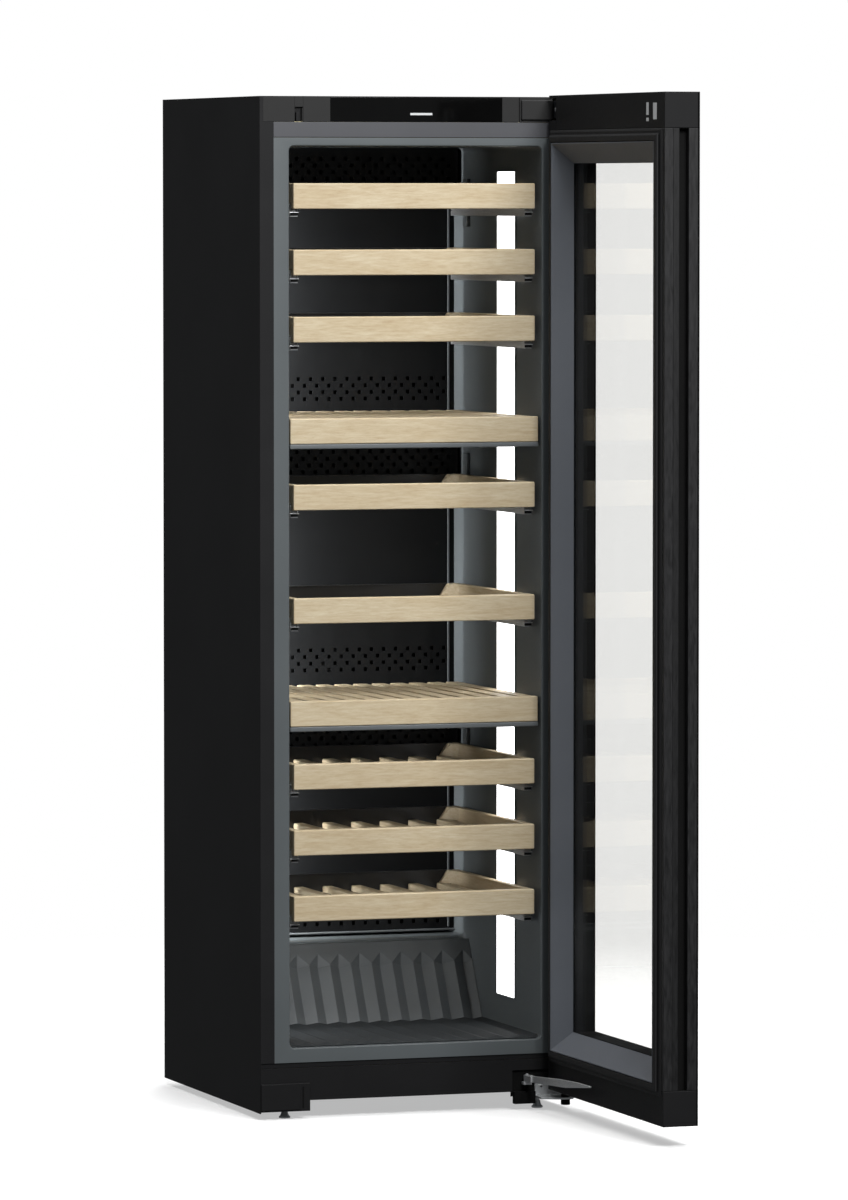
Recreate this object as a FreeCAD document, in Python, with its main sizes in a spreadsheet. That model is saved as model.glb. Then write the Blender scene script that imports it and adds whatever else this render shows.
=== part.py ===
import FreeCAD, Part
import os
import re
import Sketcher

# A free-standing, full-height wine cooler with three cooling zones, eight bottle drawers and one glass door.
# Lengths are in millimetres. While a piece is drawn, x runs to the right from the cabinet's middle plane,
# y runs back from the cabinet's front plane and z runs up from the floor.

doc = FreeCAD.newDocument("wine_cooler")
sheet = doc.addObject("Spreadsheet::Sheet", "Dims")

# --- driving dimensions -----------------------------------------------------------------------------------
SIZES = {
    # cabinet
    "width": 597, "depth": 600, "height": 1855, "skin": 1.5, "case_bottom": 12, "flange_wide": 27,
    "plinth_bottom": 33.7, "plinth_top": 103.5, "plinth_set_back": 2, "plate_thick": 3,
    "head_tall": 46, "strip_tall": 28.7, "fascia_deep": 28, "fascia_side_gap": 7, "fascia_wall": 3,
    "gloss_left": 134.7, "gloss_right_gap": 133, "gloss_thick": 2,
    "slot_left": 67, "slot_wide": 16, "slot_tall": 30, "slot_deep": 6, "slot_drop": 18,
    "chassis_bottom": 24, "chassis_top": 60, "chassis_front": 8, "boss_radius": 9.6, "boss_tall": 16,
    "cover_low": 15, "cover_wide": 94, "cover_thick": 4, "cover_proud_wide": 75, "cover_proud": 2,
    # rear panel
    "slot_row_wide": 150, "slot_row_x_1": -130, "slot_row_x_2": 60, "slot_row_low": 56, "slot_row_pitch": 14,
    "slot_row_tall": 6, "slot_row_count": 9, "inlet_side": 50, "inlet_wide": 40, "inlet_low": 64,
    "inlet_tall": 30, "inlet_deep": 16, "inlet_wall": 6, "socket_deep": 12,
    # liner
    "wall_side": 56.4, "open_bottom": 130, "collar_top": 15.1, "liner_wall": 2, "back_wall": 80,
    "floor_short": 171, "ledge_deep": 89, "ledge_top": 281,
    "niche_deep": 120, "niche_step": 100, "niche_slope": 50, "niche_under": 49,
    # duct panel, fan covers and fans
    "duct_gap": 29, "duct_rise": 5, "duct_lip": 10, "cover_deep": 45, "cover_tall": 112, "cover_slope": 22,
    "cover_side_gap": 8, "cover_wall": 2, "fan_radius": 38, "hub_radius": 13, "fan_set_back": 10,
    "fan_deep": 22, "fan_drop": 52, "blade_count": 7, "blade_thick": 3, "blade_lean": 32, "fan_pin_radius": 3,
    "running_gap": 0.05,
    # lights and sensors on the side walls
    "light_front": 137.6, "light_wide": 102.6, "light_low": 187.6, "light_margin": 42.7, "light_thick": 3,
    "sensor_ahead": 50, "sensor_wide": 23, "sensor_tall": 90, "sensor_thick": 8,
    "sensor_drop_1": 58, "sensor_drop_2": 25, "sensor_drop_3": 29,
    # drawers and dividers: levels are shares of the opening's height
    "board_tall": 46.4, "front_thick": 18, "shelf_front": 7, "drawer_side_gap": 10.45, "drawer_back_gap": 8,
    "side_thick": 14, "slat_wide": 20, "slat_thick": 12, "slat_count": 8, "slat_margin": 33.55, "slat_drop": 24,
    "rear_thick": 2,
    "level_1": 0.9589, "level_2": 0.8855, "level_3": 0.8113, "level_4": 0.6255, "level_5": 0.4996,
    "level_6": 0.3153, "level_7": 0.2419, "level_8": 0.1685,
    "divider_level_1": 0.6988, "divider_level_2": 0.3853, "divider_side_gap": 4, "divider_back_gap": 6,
    "board_slat_wide": 31, "board_slat_thick": 14, "board_slat_count": 13, "board_slat_margin": 17.3,
    "divider_plate": 9, "plate_side_gap": 0.2, "edge_round": 3,
    # telescopic runners
    "rail_wide": 13.6, "rail_wall": 1.3, "rail_play": 0.5, "rail_front": 26, "rail_lift": 11,
    "rail_tall": 9, "rail_drop": 18, "carrier_tall": 8, "wall_tab": 30, "tab_front": 70, "tab_ahead": 108,
    # bottle rest
    "rest_front": 10, "rest_gap": 10, "rest_under": 4, "rest_thick": 3, "rest_side_gap": 1,
    "ridge_count": 12, "ridge_margin": 16.6, "ridge_tall": 11, "ridge_wide": 6, "ridge_strip": 18,
    # door
    "door_gap": 9, "door_thick": 66, "door_bottom": 37.8, "door_rise": 2.5, "open_angle": 90,
    "hinge_in": 21.5, "hinge_out": 26, "cap_tall": 63.5, "pane_front": 3.2, "pane_back": 4,
    "window_side": 70.5, "window_low": 150, "window_drop": 123.5, "ridge_side": 33.7, "ridge_low": 113,
    "ridge_drop": 86.5, "ridge_proud": 8.2, "pane_inset": 23, "pane_edge": 34.5,
    "groove_near": 27.8, "groove_far": 45.3, "groove_deep": 14,
    "gasket_wide": 23, "gasket_base": 3, "gasket_tall": 8.7, "gasket_lip": 9,
    # hinges
    "pin_radius": 5, "arm_half": 13.5, "arm_drop": 9.5, "arm_tall": 32, "pocket_drop": 5.5, "pocket_tall": 40,
    "pocket_wide": 37, "pocket_deep": 48, "pin_depth": 20, "pin_hole_deep": 27,
    "foot_plate_low": 22, "foot_plate_thick": 4, "foot_plate_side": 21, "foot_plate_front": 14,
    "hinge_plate_wide": 93.5, "lower_pin_tall": 38, "back_plate_rise": 14, "back_plate_more": 6,
    "hinge_cover_proud": 5, "hinge_cover_margin": 4, "hinge_cover_gap": 1,
    "plinth_notch": 18, "plinth_notch_rise": 20, "bearing_radius": 8.5, "bearing_tall": 11,
    # door closer
    "closer_in": 85, "closer_y": -3.2, "closer_long": 300, "closer_tall": 12, "closer_tip": 3,
    "closer_rise": 24, "closer_thick": 5, "closer_low": 53, "closer_angle": 272.7, "closer_pin": 2.5, "closer_hub": 5,
    "closer_tab_half": 8, "closer_tab_thick": 5,
    # feet and rollers
    "foot_in": 54.5, "foot_y": 27, "foot_radius": 10.5, "foot_disc": 4, "neck_tall": 10, "neck_flare": 1.5,
    "stem_radius": 4, "stem_top": 44,
    "roller_in": 48.5, "roller_behind": 40, "roller_radius": 11, "roller_wide": 14, "roller_play": 0.5,
    "axle_radius": 4, "axle_more": 1, "fork_thick": 3, "fork_half": 9, "fork_low": 5,
    # cooling unit
    "pot_radius": 60, "pot_x": 60, "pot_behind": 74, "pot_low": 34, "pot_under": 46, "pot_foot_half": 30,
    "coil_right": -60, "coil_wide": 150, "coil_behind": 116, "coil_low": 34, "coil_high": 170, "coil_plate": 6,
    "coil_deep": 70, "fin_margin": 8, "fin_pitch": 12, "fin_count": 12, "fin_thick": 1.5,
    "evaporator_side": 52.1, "evaporator_drop": 165.2, "evaporator_tall": 320, "evaporator_thick": 14,
}
DRAWERS = 8
ZONES = 3

# Sizes that follow from the driving ones
FOLLOWING = {
    "half": "width / 2",
    "inner_half": "half - skin",
    "case_top": "height - skin",
    "back_plane": "depth - skin",
    # head and opening
    "fascia_bottom": "height - head_tall",
    "strip_bottom": "fascia_bottom - strip_tall",
    "gloss_right": "width - gloss_right_gap",
    "open_wide": "width - 2 * wall_side",
    "open_half": "open_wide / 2",
    "open_top": "strip_bottom - collar_top",
    "open_tall": "open_top - open_bottom",
    "liner_deep": "depth - back_wall",
    "ledge_front": "liner_deep - floor_short",
    "ledge_back": "liner_deep - ledge_deep",
    "niche_front": "liner_deep - niche_deep",
    "niche_back": "liner_deep - niche_slope",
    "niche_top": "ledge_top - niche_under",
    # inside the liner
    "duct_front": "liner_deep - duct_gap",
    "duct_low": "ledge_top + duct_rise",
    "cover_front": "duct_front - cover_deep",
    "fan_front": "cover_front + fan_set_back",
    "light_high": "open_top - light_margin",
    "sensor_front": "cover_front - sensor_ahead",
    "rest_foot": "ledge_front - rest_gap",
    "rest_head": "ledge_back - rest_gap",
    "rest_top": "ledge_top - rest_under",
    "ridge_pitch": "(open_wide - 2 * ridge_margin) / (ridge_count - 1)",
    # drawers and dividers
    "drawer_wide": "open_wide - 2 * drawer_side_gap",
    "drawer_half": "drawer_wide / 2",
    "drawer_back": "cover_front - drawer_back_gap",
    "slat_pitch": "(drawer_wide - 2 * slat_margin) / (slat_count - 1)",
    "divider_wide": "open_wide - 2 * divider_side_gap",
    "divider_half": "divider_wide / 2",
    "divider_back": "cover_front - divider_back_gap",
    "board_slat_pitch": "(divider_wide - 2 * board_slat_margin) / (board_slat_count - 1)",
    "rail_mid": "drawer_half - side_thick / 2",
    "tab_back": "drawer_back - tab_ahead",
    # door
    "door_top": "height + door_rise",
    "door_core": "door_thick - pane_front",
    "window_high": "door_top - window_drop",
    "ridge_high": "door_top - ridge_drop",
    "hinge_x": "half - hinge_in",
    "hinge_y": "-(door_gap + hinge_out)",
    "door_edge_x": "hinge_x + hinge_in * cos(open_angle) - hinge_out * sin(open_angle)",
    "door_edge_y": "hinge_y + hinge_in * sin(open_angle) + hinge_out * cos(open_angle)",
    "arm_high": "door_top - arm_drop",
    "arm_low": "arm_high - arm_tall",
    "pocket_high": "door_top - pocket_drop",
    "pocket_low": "pocket_high - pocket_tall",
    "hinge_plate_left": "half - hinge_plate_wide",
    "closer_x": "half - closer_in",
    # feet, rollers and cooling unit
    "foot_x": "half - foot_in",
    "roller_x": "half - roller_in",
    "roller_y": "depth - roller_behind",
    "fork_near": "roller_wide / 2 + roller_play",
    "pot_y": "depth - pot_behind",
    "pot_high": "niche_top - pot_under",
    "coil_front": "depth - coil_behind",
    "evaporator_half": "open_half - evaporator_side",
    "evaporator_high": "open_top - evaporator_drop",
    # The origin is the middle of the whole object's footprint, the door standing open at rest
    "shift_x": "(hinge_x - hinge_out + door_thick - half) / 2",
    "shift_y": "(depth + hinge_y + hinge_in - width) / 2",
}


def full(text):
    """An expression with each name resolved to its cell, or to the names that it follows from."""
    def resolve(found):
        word = found.group(0)
        if word in FOLLOWING:
            return "(" + full(FOLLOWING[word]) + ")"
        return "Dims." + word if word in SIZES else word
    return re.sub(r"[a-z][a-z_0-9]*", resolve, str(text))


for row, (alias, value) in enumerate(SIZES.items(), 1):
    sheet.set(f"A{row}", alias)
    sheet.set(f"B{row}", str(value))
    sheet.setAlias(f"B{row}", alias)
doc.recompute()


# --- helpers ----------------------------------------------------------------------------------------------
def bind(thing, **values):
    """Bind properties to expressions; a double underscore stands for the dot inside a property's path."""
    for prop, text in values.items():
        thing.setExpression(prop.replace("__", "."), full(text))


def at(thing, x="0", y="0", z="0"):
    """Bind where a thing stands."""
    bind(thing, Placement__Base__x=x, Placement__Base__y=y, Placement__Base__z=z)
    return thing


def box(x, y, z):
    """A box from three spans, each a pair of expressions."""
    made = doc.addObject("Part::Box", "Box")
    bind(made, Length=f"({x[1]}) - ({x[0]})", Width=f"({y[1]}) - ({y[0]})", Height=f"({z[1]}) - ({z[0]})")
    return at(made, x[0], y[0], z[0])


TURNS = {
    "x": FreeCAD.Rotation(FreeCAD.Vector(0, 1, 0), 90),
    "y": FreeCAD.Rotation(FreeCAD.Vector(1, 0, 0), -90),
    "z": FreeCAD.Rotation(),
}


def cylinder(axis, start, radius, length):
    """A cylinder that runs from a start point along one axis."""
    made = doc.addObject("Part::Cylinder", "Cylinder")
    made.Placement = FreeCAD.Placement(FreeCAD.Vector(), TURNS[axis])
    bind(made, Radius=radius, Height=length)
    return at(made, *start)


def cone(start, low_radius, high_radius, length):
    made = doc.addObject("Part::Cone", "Cone")
    bind(made, Radius1=low_radius, Radius2=high_radius, Height=length)
    return at(made, *start)


def cut(base, *tools):
    """The base without the tools."""
    made = doc.addObject("Part::Cut", "Cut")
    made.Base = base
    made.Tool = tools[0] if len(tools) == 1 else join(*tools)
    return made


def join(*things):
    """One solid made of several that touch."""
    made = doc.addObject("Part::MultiFuse", "Fuse")
    made.Shapes = list(things)
    made.Refine = True
    return made


def group(*things):
    """Separate solids that share one node."""
    made = doc.addObject("Part::Compound", "Group")
    made.Links = list(things)
    return made


def mirrored(thing):
    """The same piece on the other side of the cabinet's middle plane."""
    made = doc.addObject("Part::Mirroring", "Mirror")
    made.Source = thing
    made.Normal = FreeCAD.Vector(1, 0, 0)
    return made


def rounded(thing, radius, chosen):
    """Round the edges that the chosen test picks by their two ends."""
    doc.recompute()
    made = doc.addObject("Part::Fillet", "Round")
    made.Base = thing
    size = float(sheet.get(radius))
    made.Edges = [
        (number, size, size)
        for number, edge in enumerate(thing.Shape.Edges, 1)
        if len(edge.Vertexes) == 2 and chosen(edge.Vertexes[0].Point, edge.Vertexes[1].Point)
    ]
    return made


def body():
    return doc.addObject("PartDesign::Body", "Body")


def origin_plane(owner, role):
    return next(f for f in owner.Origin.OriginFeatures if f.Role == role)


def outline(owner, role, loops, offset="0"):
    """A sketch on one of the body's own planes; each loop is a list of points, every point held by sizes."""
    drawn = owner.newObject("Sketcher::SketchObject", "Sketch")
    drawn.AttachmentSupport = [(origin_plane(owner, role), "")]
    drawn.MapMode = "FlatFace"
    bind(drawn, AttachmentOffset__Base__z=offset)
    for points in loops:
        first = drawn.GeometryCount
        where = [
            FreeCAD.Vector(*(float(sheet.evalExpression(full(value))) for value in point), 0)
            for point in points
        ]
        count = len(points)
        for k in range(count):
            drawn.addGeometry(Part.LineSegment(where[k], where[(k + 1) % count]))
        for k in range(count):
            drawn.addConstraint(Sketcher.Constraint("Coincident", first + k, 2, first + (k + 1) % count, 1))
            for kind, place in (("DistanceX", 0), ("DistanceY", 1)):
                value = where[k][place]
                held = drawn.addConstraint(Sketcher.Constraint(kind, -1, 1, first + k, 1, value))
                drawn.setExpression(f"Constraints[{held}]", full(points[k][place]))
    return drawn


def rectangle(u, v):
    return [(u[0], v[0]), (u[1], v[0]), (u[1], v[1]), (u[0], v[1])]


def pad(owner, sketch, length, reverse=False, both=False):
    made = owner.newObject("PartDesign::Pad", "Pad")
    made.Profile = sketch
    made.SideType = "Symmetric" if both else "One side"
    made.Reversed = reverse
    bind(made, Length=length)
    return made


def pocket(owner, sketch, length, reverse=False, both=False):
    """Cut a pocket, and make sure that it took something away."""
    doc.recompute()
    before = owner.Shape.Volume
    made = owner.newObject("PartDesign::Pocket", "Pocket")
    made.Profile = sketch
    made.SideType = "Symmetric" if both else "One side"
    made.Reversed = reverse
    bind(made, Length=length)
    doc.recompute()
    if owner.Shape.Volume > before - 0.01:
        raise ValueError("a pocket cut nothing")
    return made


def profile(role, points, length, offset="0", reverse=False, both=False):
    """A body with one padded outline."""
    made = body()
    pad(made, outline(made, role, [points], offset), length, reverse, both)
    return made


def places(kind):
    """The middles of a row of like pieces, spread evenly about the cabinet's middle plane."""
    count = int(sheet.get(f"{kind}_count"))
    return [f"({k - (count - 1) / 2}) * {kind}_pitch" for k in range(count)]


NODES = {}


def node(label, thing):
    """Name a fixed or sliding piece of the cabinet and stand it in the object's own frame."""
    doc.recompute()
    if thing.TypeId in ("Part::Box", "Part::Cylinder", "Part::Cone"):
        thing = group(thing)
    at(thing, "-shift_x", "-shift_y")
    thing.Label = label
    NODES[label] = thing


def door_node(label, thing):
    """Name a piece of the door. Door pieces are drawn with x from the hinge edge to the free edge and y
    from the inner face to the outer face, and then turned to the angle at which the door rests."""
    doc.recompute()
    if thing.TypeId in ("Part::Box", "Part::Cylinder", "Part::Cone"):
        thing = group(thing)
    turn = float(sheet.get("open_angle")) + 180
    thing.Placement = FreeCAD.Placement(
        FreeCAD.Vector(), FreeCAD.Rotation(FreeCAD.Vector(0, 0, 1), turn))
    at(thing, "door_edge_x - shift_x", "door_edge_y - shift_y")
    thing.Label = label
    NODES[label] = thing


# --- cabinet ----------------------------------------------------------------------------------------------
def outer_case():
    """Two sides, a top and two front flanges, folded from one sheet."""
    made = body()
    shell = [("-half", "case_bottom"), ("-inner_half", "case_bottom"), ("-inner_half", "case_top"),
             ("inner_half", "case_top"), ("inner_half", "case_bottom"), ("half", "case_bottom"),
             ("half", "height"), ("-half", "height")]
    pad(made, outline(made, "XZ_Plane", [shell]), "back_plane", reverse=True)
    flange = ("plinth_top", "fascia_bottom")
    sides = [rectangle(("-half", "-half + flange_wide"), flange),
             rectangle(("half - flange_wide", "half"), flange)]
    pad(made, outline(made, "XZ_Plane", sides), "skin", reverse=True)
    return made


def chassis():
    """The steel tray under the cabinet, with bosses for the feet and forks for the rollers."""
    span = ("-inner_half", "inner_half")
    tray = cut(
        box(span, ("chassis_front", "back_plane"), ("chassis_bottom", "chassis_top")),
        box(("-inner_half + skin", "inner_half - skin"), ("chassis_front + skin", "back_plane - skin"),
            ("chassis_bottom + skin", "chassis_top")))
    parts = [tray]
    for side in ("-", ""):
        parts.append(cylinder("z", (f"{side}foot_x", "foot_y", "chassis_bottom"), "boss_radius", "boss_tall"))
        for edge in ("-(fork_near + fork_thick)", "fork_near"):
            left = f"{side}roller_x + {edge}"
            parts.append(box((left, f"{left} + fork_thick"), ("roller_y - fork_half", "roller_y + fork_half"),
                             ("fork_low", "chassis_bottom")))
        axle = (f"{side}roller_x - roller_wide / 2 - axle_more", "roller_y", "roller_radius")
        parts.append(cylinder("x", axle, "axle_radius", "roller_wide + 2 * axle_more"))
    holes = [cylinder("z", (f"{side}foot_x", "foot_y", "chassis_bottom - 1"), "stem_radius + running_gap",
                      "boss_tall + 4") for side in ("-", "")]
    return cut(join(*parts), *holes)


def rear_panel():
    """The back sheet, louvred at the machine compartment, with the mains inlet pressed into it."""
    made = body()
    pad(made, outline(made, "XZ_Plane", [rectangle(("-half", "half"), ("chassis_bottom", "height"))],
                      "-back_plane"), "skin", reverse=True)
    inlet_x = ("inner_half - inlet_side - inlet_wide", "inner_half - inlet_side")
    inlet_z = ("inlet_low", "inlet_low + inlet_tall")
    pad(made, outline(made, "XZ_Plane", [rectangle(inlet_x, inlet_z)], "-back_plane + inlet_deep"),
        "inlet_deep + skin / 2", reverse=True)
    slots = []
    for x in ("slot_row_x_1", "slot_row_x_2"):
        for k in range(int(sheet.get("slot_row_count"))):
            low = f"slot_row_low + {k} * slot_row_pitch"
            slots.append(rectangle((f"{x} - slot_row_wide / 2", f"{x} + slot_row_wide / 2"),
                                   (low, f"{low} + slot_row_tall")))
    pocket(made, outline(made, "XZ_Plane", slots, "-back_plane + 1"), "skin + 2")
    socket = rectangle((f"{inlet_x[0]} + inlet_wall", f"{inlet_x[1]} - inlet_wall"),
                       (f"{inlet_z[0]} + inlet_wall", f"{inlet_z[1]} - inlet_wall"))
    pocket(made, outline(made, "XZ_Plane", [socket], "-depth"), "socket_deep", reverse=True)
    return made


LINER_INSIDE = [("0", "open_bottom"), ("ledge_front", "open_bottom"), ("ledge_back", "ledge_top"),
                ("liner_deep", "ledge_top"), ("liner_deep", "open_top"), ("0", "open_top")]
LINER_OUTSIDE = [("0", "open_bottom - liner_wall"), ("ledge_front + liner_wall", "open_bottom - liner_wall"),
                 ("ledge_back + liner_wall", "ledge_top - liner_wall"),
                 ("liner_deep + liner_wall", "ledge_top - liner_wall"),
                 ("liner_deep + liner_wall", "open_top + liner_wall"), ("0", "open_top + liner_wall")]


def liner():
    """The moulded inner box: collar, walls, and a floor that rises over the machine compartment."""
    made = body()
    collar = rectangle(("-half + flange_wide", "half - flange_wide"), ("plinth_top", "strip_bottom"))
    pad(made, outline(made, "XZ_Plane", [collar]), "plate_thick", reverse=True)
    pad(made, outline(made, "YZ_Plane", [LINER_OUTSIDE]), "open_wide + 2 * liner_wall", both=True)
    pocket(made, outline(made, "YZ_Plane", [LINER_INSIDE]), "open_wide", both=True)
    return made


def insulation():
    """Foam between the case and the liner, hollowed for the machine compartment and the fascia."""
    side = [("chassis_front", "chassis_top"), ("niche_front", "chassis_top"), ("niche_front", "niche_step"),
            ("niche_back", "niche_top"), ("back_plane", "niche_top"), ("back_plane", "case_top"),
            ("fascia_deep", "case_top"), ("fascia_deep", "fascia_bottom"), ("plate_thick", "fascia_bottom"),
            ("plate_thick", "plinth_top"), ("chassis_front", "plinth_top")]
    made = body()
    pad(made, outline(made, "YZ_Plane", [side]), "inner_half * 2", both=True)
    pocket(made, outline(made, "YZ_Plane", [LINER_OUTSIDE]), "open_wide + 2 * liner_wall", both=True)
    return made


def fascia():
    """The control housing, recessed for the gloss centre and slotted for the door lock."""
    span = ("-half + fascia_side_gap", "hinge_plate_left - fascia_side_gap")
    made = body()
    face = rectangle(span, ("fascia_bottom", "case_top"))
    pad(made, outline(made, "XZ_Plane", [face]), "fascia_deep", reverse=True)
    hollow = rectangle((f"{span[0]} + fascia_wall", f"{span[1]} - fascia_wall"),
                       ("fascia_bottom + fascia_wall", "case_top - fascia_wall"))
    pocket(made, outline(made, "XZ_Plane", [hollow], "-fascia_deep"), "fascia_deep - slot_deep - fascia_wall",
           reverse=True)
    gloss = rectangle(("gloss_left - half", "gloss_right - half"), ("fascia_bottom", "case_top"))
    pocket(made, outline(made, "XZ_Plane", [gloss]), "gloss_thick")
    slot = rectangle(("slot_left - half", "slot_left + slot_wide - half"),
                     ("case_top - slot_drop - slot_tall", "case_top - slot_drop"))
    pocket(made, outline(made, "XZ_Plane", [slot]), "slot_deep")
    return made


def plinth():
    """The panel below the opening, cut away at the right for the lower hinge."""
    notch = "hinge_plate_left - plinth_notch"
    notch_top = "closer_low + plinth_notch_rise"
    points = [("-inner_half", "plinth_bottom"), (notch, "plinth_bottom"), (notch, notch_top),
              ("inner_half", notch_top),
              ("inner_half", "plinth_top"), ("-inner_half", "plinth_top")]
    return profile("XZ_Plane", points, "plate_thick", "-plinth_set_back", reverse=True)


def foot_cover():
    """The clip-on cover over the left foot, with a raised middle."""
    top = "chassis_top + cover_thick + cover_proud"
    right = "-half + cover_wide"
    clip = box(("-inner_half", right), ("0", "plinth_set_back"), ("cover_low", top))
    wide = box(("-half", right), ("-cover_thick", "0"), ("cover_low", top))
    proud = box(("-half", "-half + cover_proud_wide"), ("-cover_thick - cover_proud", "-cover_thick"),
                ("cover_low + plate_thick", top))
    return join(clip, wide, proud)


# --- inside the liner -------------------------------------------------------------------------------------
def zone_ceiling(zone):
    """The height of a zone's ceiling: the liner's top, or the underside of a divider's plate."""
    if zone == 0:
        return "open_top"
    return f"open_bottom + divider_level_{zone} * open_tall - board_tall - divider_plate"


def duct_panel():
    """The panel in front of the evaporator, with a pin for each fan."""
    span = ("-open_half", "open_half")
    wall = box(span, ("duct_front", "duct_front + plate_thick"), ("duct_low", "open_top"))
    lip = box(span, ("duct_front - duct_lip", "duct_front"), ("duct_low", "duct_low + plate_thick"))
    pins = [cylinder("y", ("0", "fan_front", f"{zone_ceiling(z)} - fan_drop"), "fan_pin_radius",
                     "duct_front - fan_front + 1") for z in range(ZONES)]
    return join(wall, lip, *pins)


def fan_cover(zone):
    """A hollow cover, open at the back, whose lower edge slopes back to the duct panel."""
    top = zone_ceiling(zone)
    low = f"{top} - cover_tall"
    outer = [("duct_front", top), ("cover_front", top), ("cover_front", f"{low} + cover_slope"),
             ("cover_front + cover_slope", low), ("duct_front", low)]
    inner = [("duct_front", f"{top} - cover_wall"), ("cover_front + cover_wall", f"{top} - cover_wall"),
             ("cover_front + cover_wall", f"{low} + cover_slope + cover_wall / 2"),
             ("cover_front + cover_slope + cover_wall / 2", f"{low} + cover_wall"),
             ("duct_front", f"{low} + cover_wall")]
    made = body()
    pad(made, outline(made, "YZ_Plane", [outer]), "open_wide - 2 * cover_side_gap", both=True)
    pocket(made, outline(made, "YZ_Plane", [inner]), "open_wide - 2 * (cover_side_gap + cover_wall)", both=True)
    return made


def fan_rotor(zone):
    """A hub with tilted blades, bored to run on its pin."""
    height = f"{zone_ceiling(zone)} - fan_drop"
    parts = [cylinder("y", ("0", "fan_front", height), "hub_radius", "fan_deep")]
    blades = int(sheet.get("blade_count"))
    for k in range(blades):
        blade = doc.addObject("Part::Box", "Blade")
        bind(blade, Length="fan_radius - hub_radius + 3", Width="fan_deep - 6", Height="blade_thick")
        spin = FreeCAD.Rotation(FreeCAD.Vector(0, 1, 0), 360 * (k + 0.5) / blades)
        lean = FreeCAD.Rotation(FreeCAD.Vector(1, 0, 0), float(sheet.get("blade_lean")))
        blade.Placement = FreeCAD.Placement(FreeCAD.Vector(), spin * lean)
        out = spin.multVec(FreeCAD.Vector(1, 0, 0))
        at(blade, f"(hub_radius - 3) * {out.x:.6f}", "fan_front + 5",
           f"{height} + (hub_radius - 3) * {out.z:.6f}")
        parts.append(blade)
    hole = cylinder("y", ("0", "fan_front - 1", height), "fan_pin_radius + running_gap", "fan_deep + 2")
    return cut(join(*parts), hole)


def light_strip():
    return box(("open_half - light_thick", "open_half"), ("light_front", "light_front + light_wide"),
               ("light_low", "light_high"))


def sensor(zone):
    """A slim housing on the right wall that holds a zone's air sensor."""
    top = f"{zone_ceiling(zone)} - sensor_drop_{zone + 1}"
    return box(("open_half - sensor_thick", "open_half"), ("sensor_front", "sensor_front + sensor_wide"),
               (f"{top} - sensor_tall", top))


def bottle_rest():
    """A moulded sheet on the floor and up the slope behind, with a ridge between every two bottles."""
    half_wide = "open_half - rest_side_gap"
    sheet_side = [("rest_front", "open_bottom"), ("rest_foot", "open_bottom"), ("rest_head", "rest_top"),
                  ("rest_head - rest_thick", "rest_top"),
                  ("rest_foot - rest_thick", "open_bottom + rest_thick"),
                  ("rest_front", "open_bottom + rest_thick")]
    made = body()
    pad(made, outline(made, "YZ_Plane", [sheet_side]), f"2 * ({half_wide})", both=True)
    ridge = [("rest_front", "open_bottom + 1"), ("rest_foot - 1", "open_bottom + 1"),
             ("rest_head - rest_thick", "rest_top - ridge_strip"),
             ("rest_head - rest_thick - ridge_tall", "rest_top - ridge_strip - ridge_tall / 2"),
             ("rest_foot - ridge_tall - rest_thick", "open_bottom + rest_thick + ridge_tall * 0.5"),
             ("rest_front", "open_bottom + rest_thick + ridge_tall * 0.5")]
    parts = [made]
    for middle in places("ridge"):
        parts.append(profile("YZ_Plane", ridge, "ridge_wide", f"{middle} - ridge_wide / 2"))
    return join(*parts)


# --- drawers, runners and dividers ------------------------------------------------------------------------
def drawer_top(number):
    return f"open_bottom + level_{number} * open_tall"


def front_board(half_wide, top):
    """A wooden front board with its front edges rounded."""
    plain = box((f"-{half_wide}", half_wide), ("shelf_front", "shelf_front + front_thick"),
                (f"{top} - board_tall", top))
    front = float(sheet.get("shelf_front"))
    return rounded(plain, "edge_round", lambda a, b: abs(a.y - front) < 0.01 and abs(b.y - front) < 0.01)


def drawer_wood(number):
    """Front, sides and slats of one drawer."""
    top = drawer_top(number)
    back_of_front = "shelf_front + front_thick"
    side = box(("drawer_half - side_thick", "drawer_half"), (back_of_front, "drawer_back - rear_thick"),
               (f"{top} - board_tall + rail_lift", top))
    solids = [front_board("drawer_half", top), side, mirrored(side)]
    for middle in places("slat"):
        solids.append(box((f"{middle} - slat_wide / 2", f"{middle} + slat_wide / 2"),
                          (back_of_front, "drawer_back - rear_thick"),
                          (f"{top} - slat_drop - slat_thick", f"{top} - slat_drop")))
    return group(*solids)


def runner_seat(number):
    """The underside of a drawer's side boards, where its runners start."""
    return f"{drawer_top(number)} - board_tall + rail_lift"


def rail_span(extra="0"):
    return f"rail_mid - rail_wide / 2 + {extra}", f"rail_mid + rail_wide / 2 - ({extra})"


def drawer_carrier(number):
    """The steel carrier: a rear panel with an inverted channel under each side board."""
    seat = runner_seat(number)
    span = ("rail_front", "drawer_back")
    channel = cut(
        box(rail_span(), span, (f"{seat} - carrier_tall", seat)),
        box(rail_span("rail_wall"), span, (f"{seat} - carrier_tall", f"{seat} - rail_wall")))
    panel = box(("-drawer_half", "drawer_half"), ("drawer_back - rear_thick", "drawer_back"),
                (f"{seat} - rail_wall", drawer_top(number)))
    return join(channel, mirrored(channel), panel)


def runner_bar(number):
    """The pair of middle members, each running in a cabinet rail and carrying a carrier's channel."""
    seat = runner_seat(number)
    gap = "(rail_wall + rail_play)"
    bar = box(rail_span(gap), ("rail_front + rail_wall", "drawer_back - rail_wall"),
              (f"{seat} - rail_drop + {gap}", f"{seat} - {gap}"))
    return group(bar, mirrored(bar))


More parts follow.
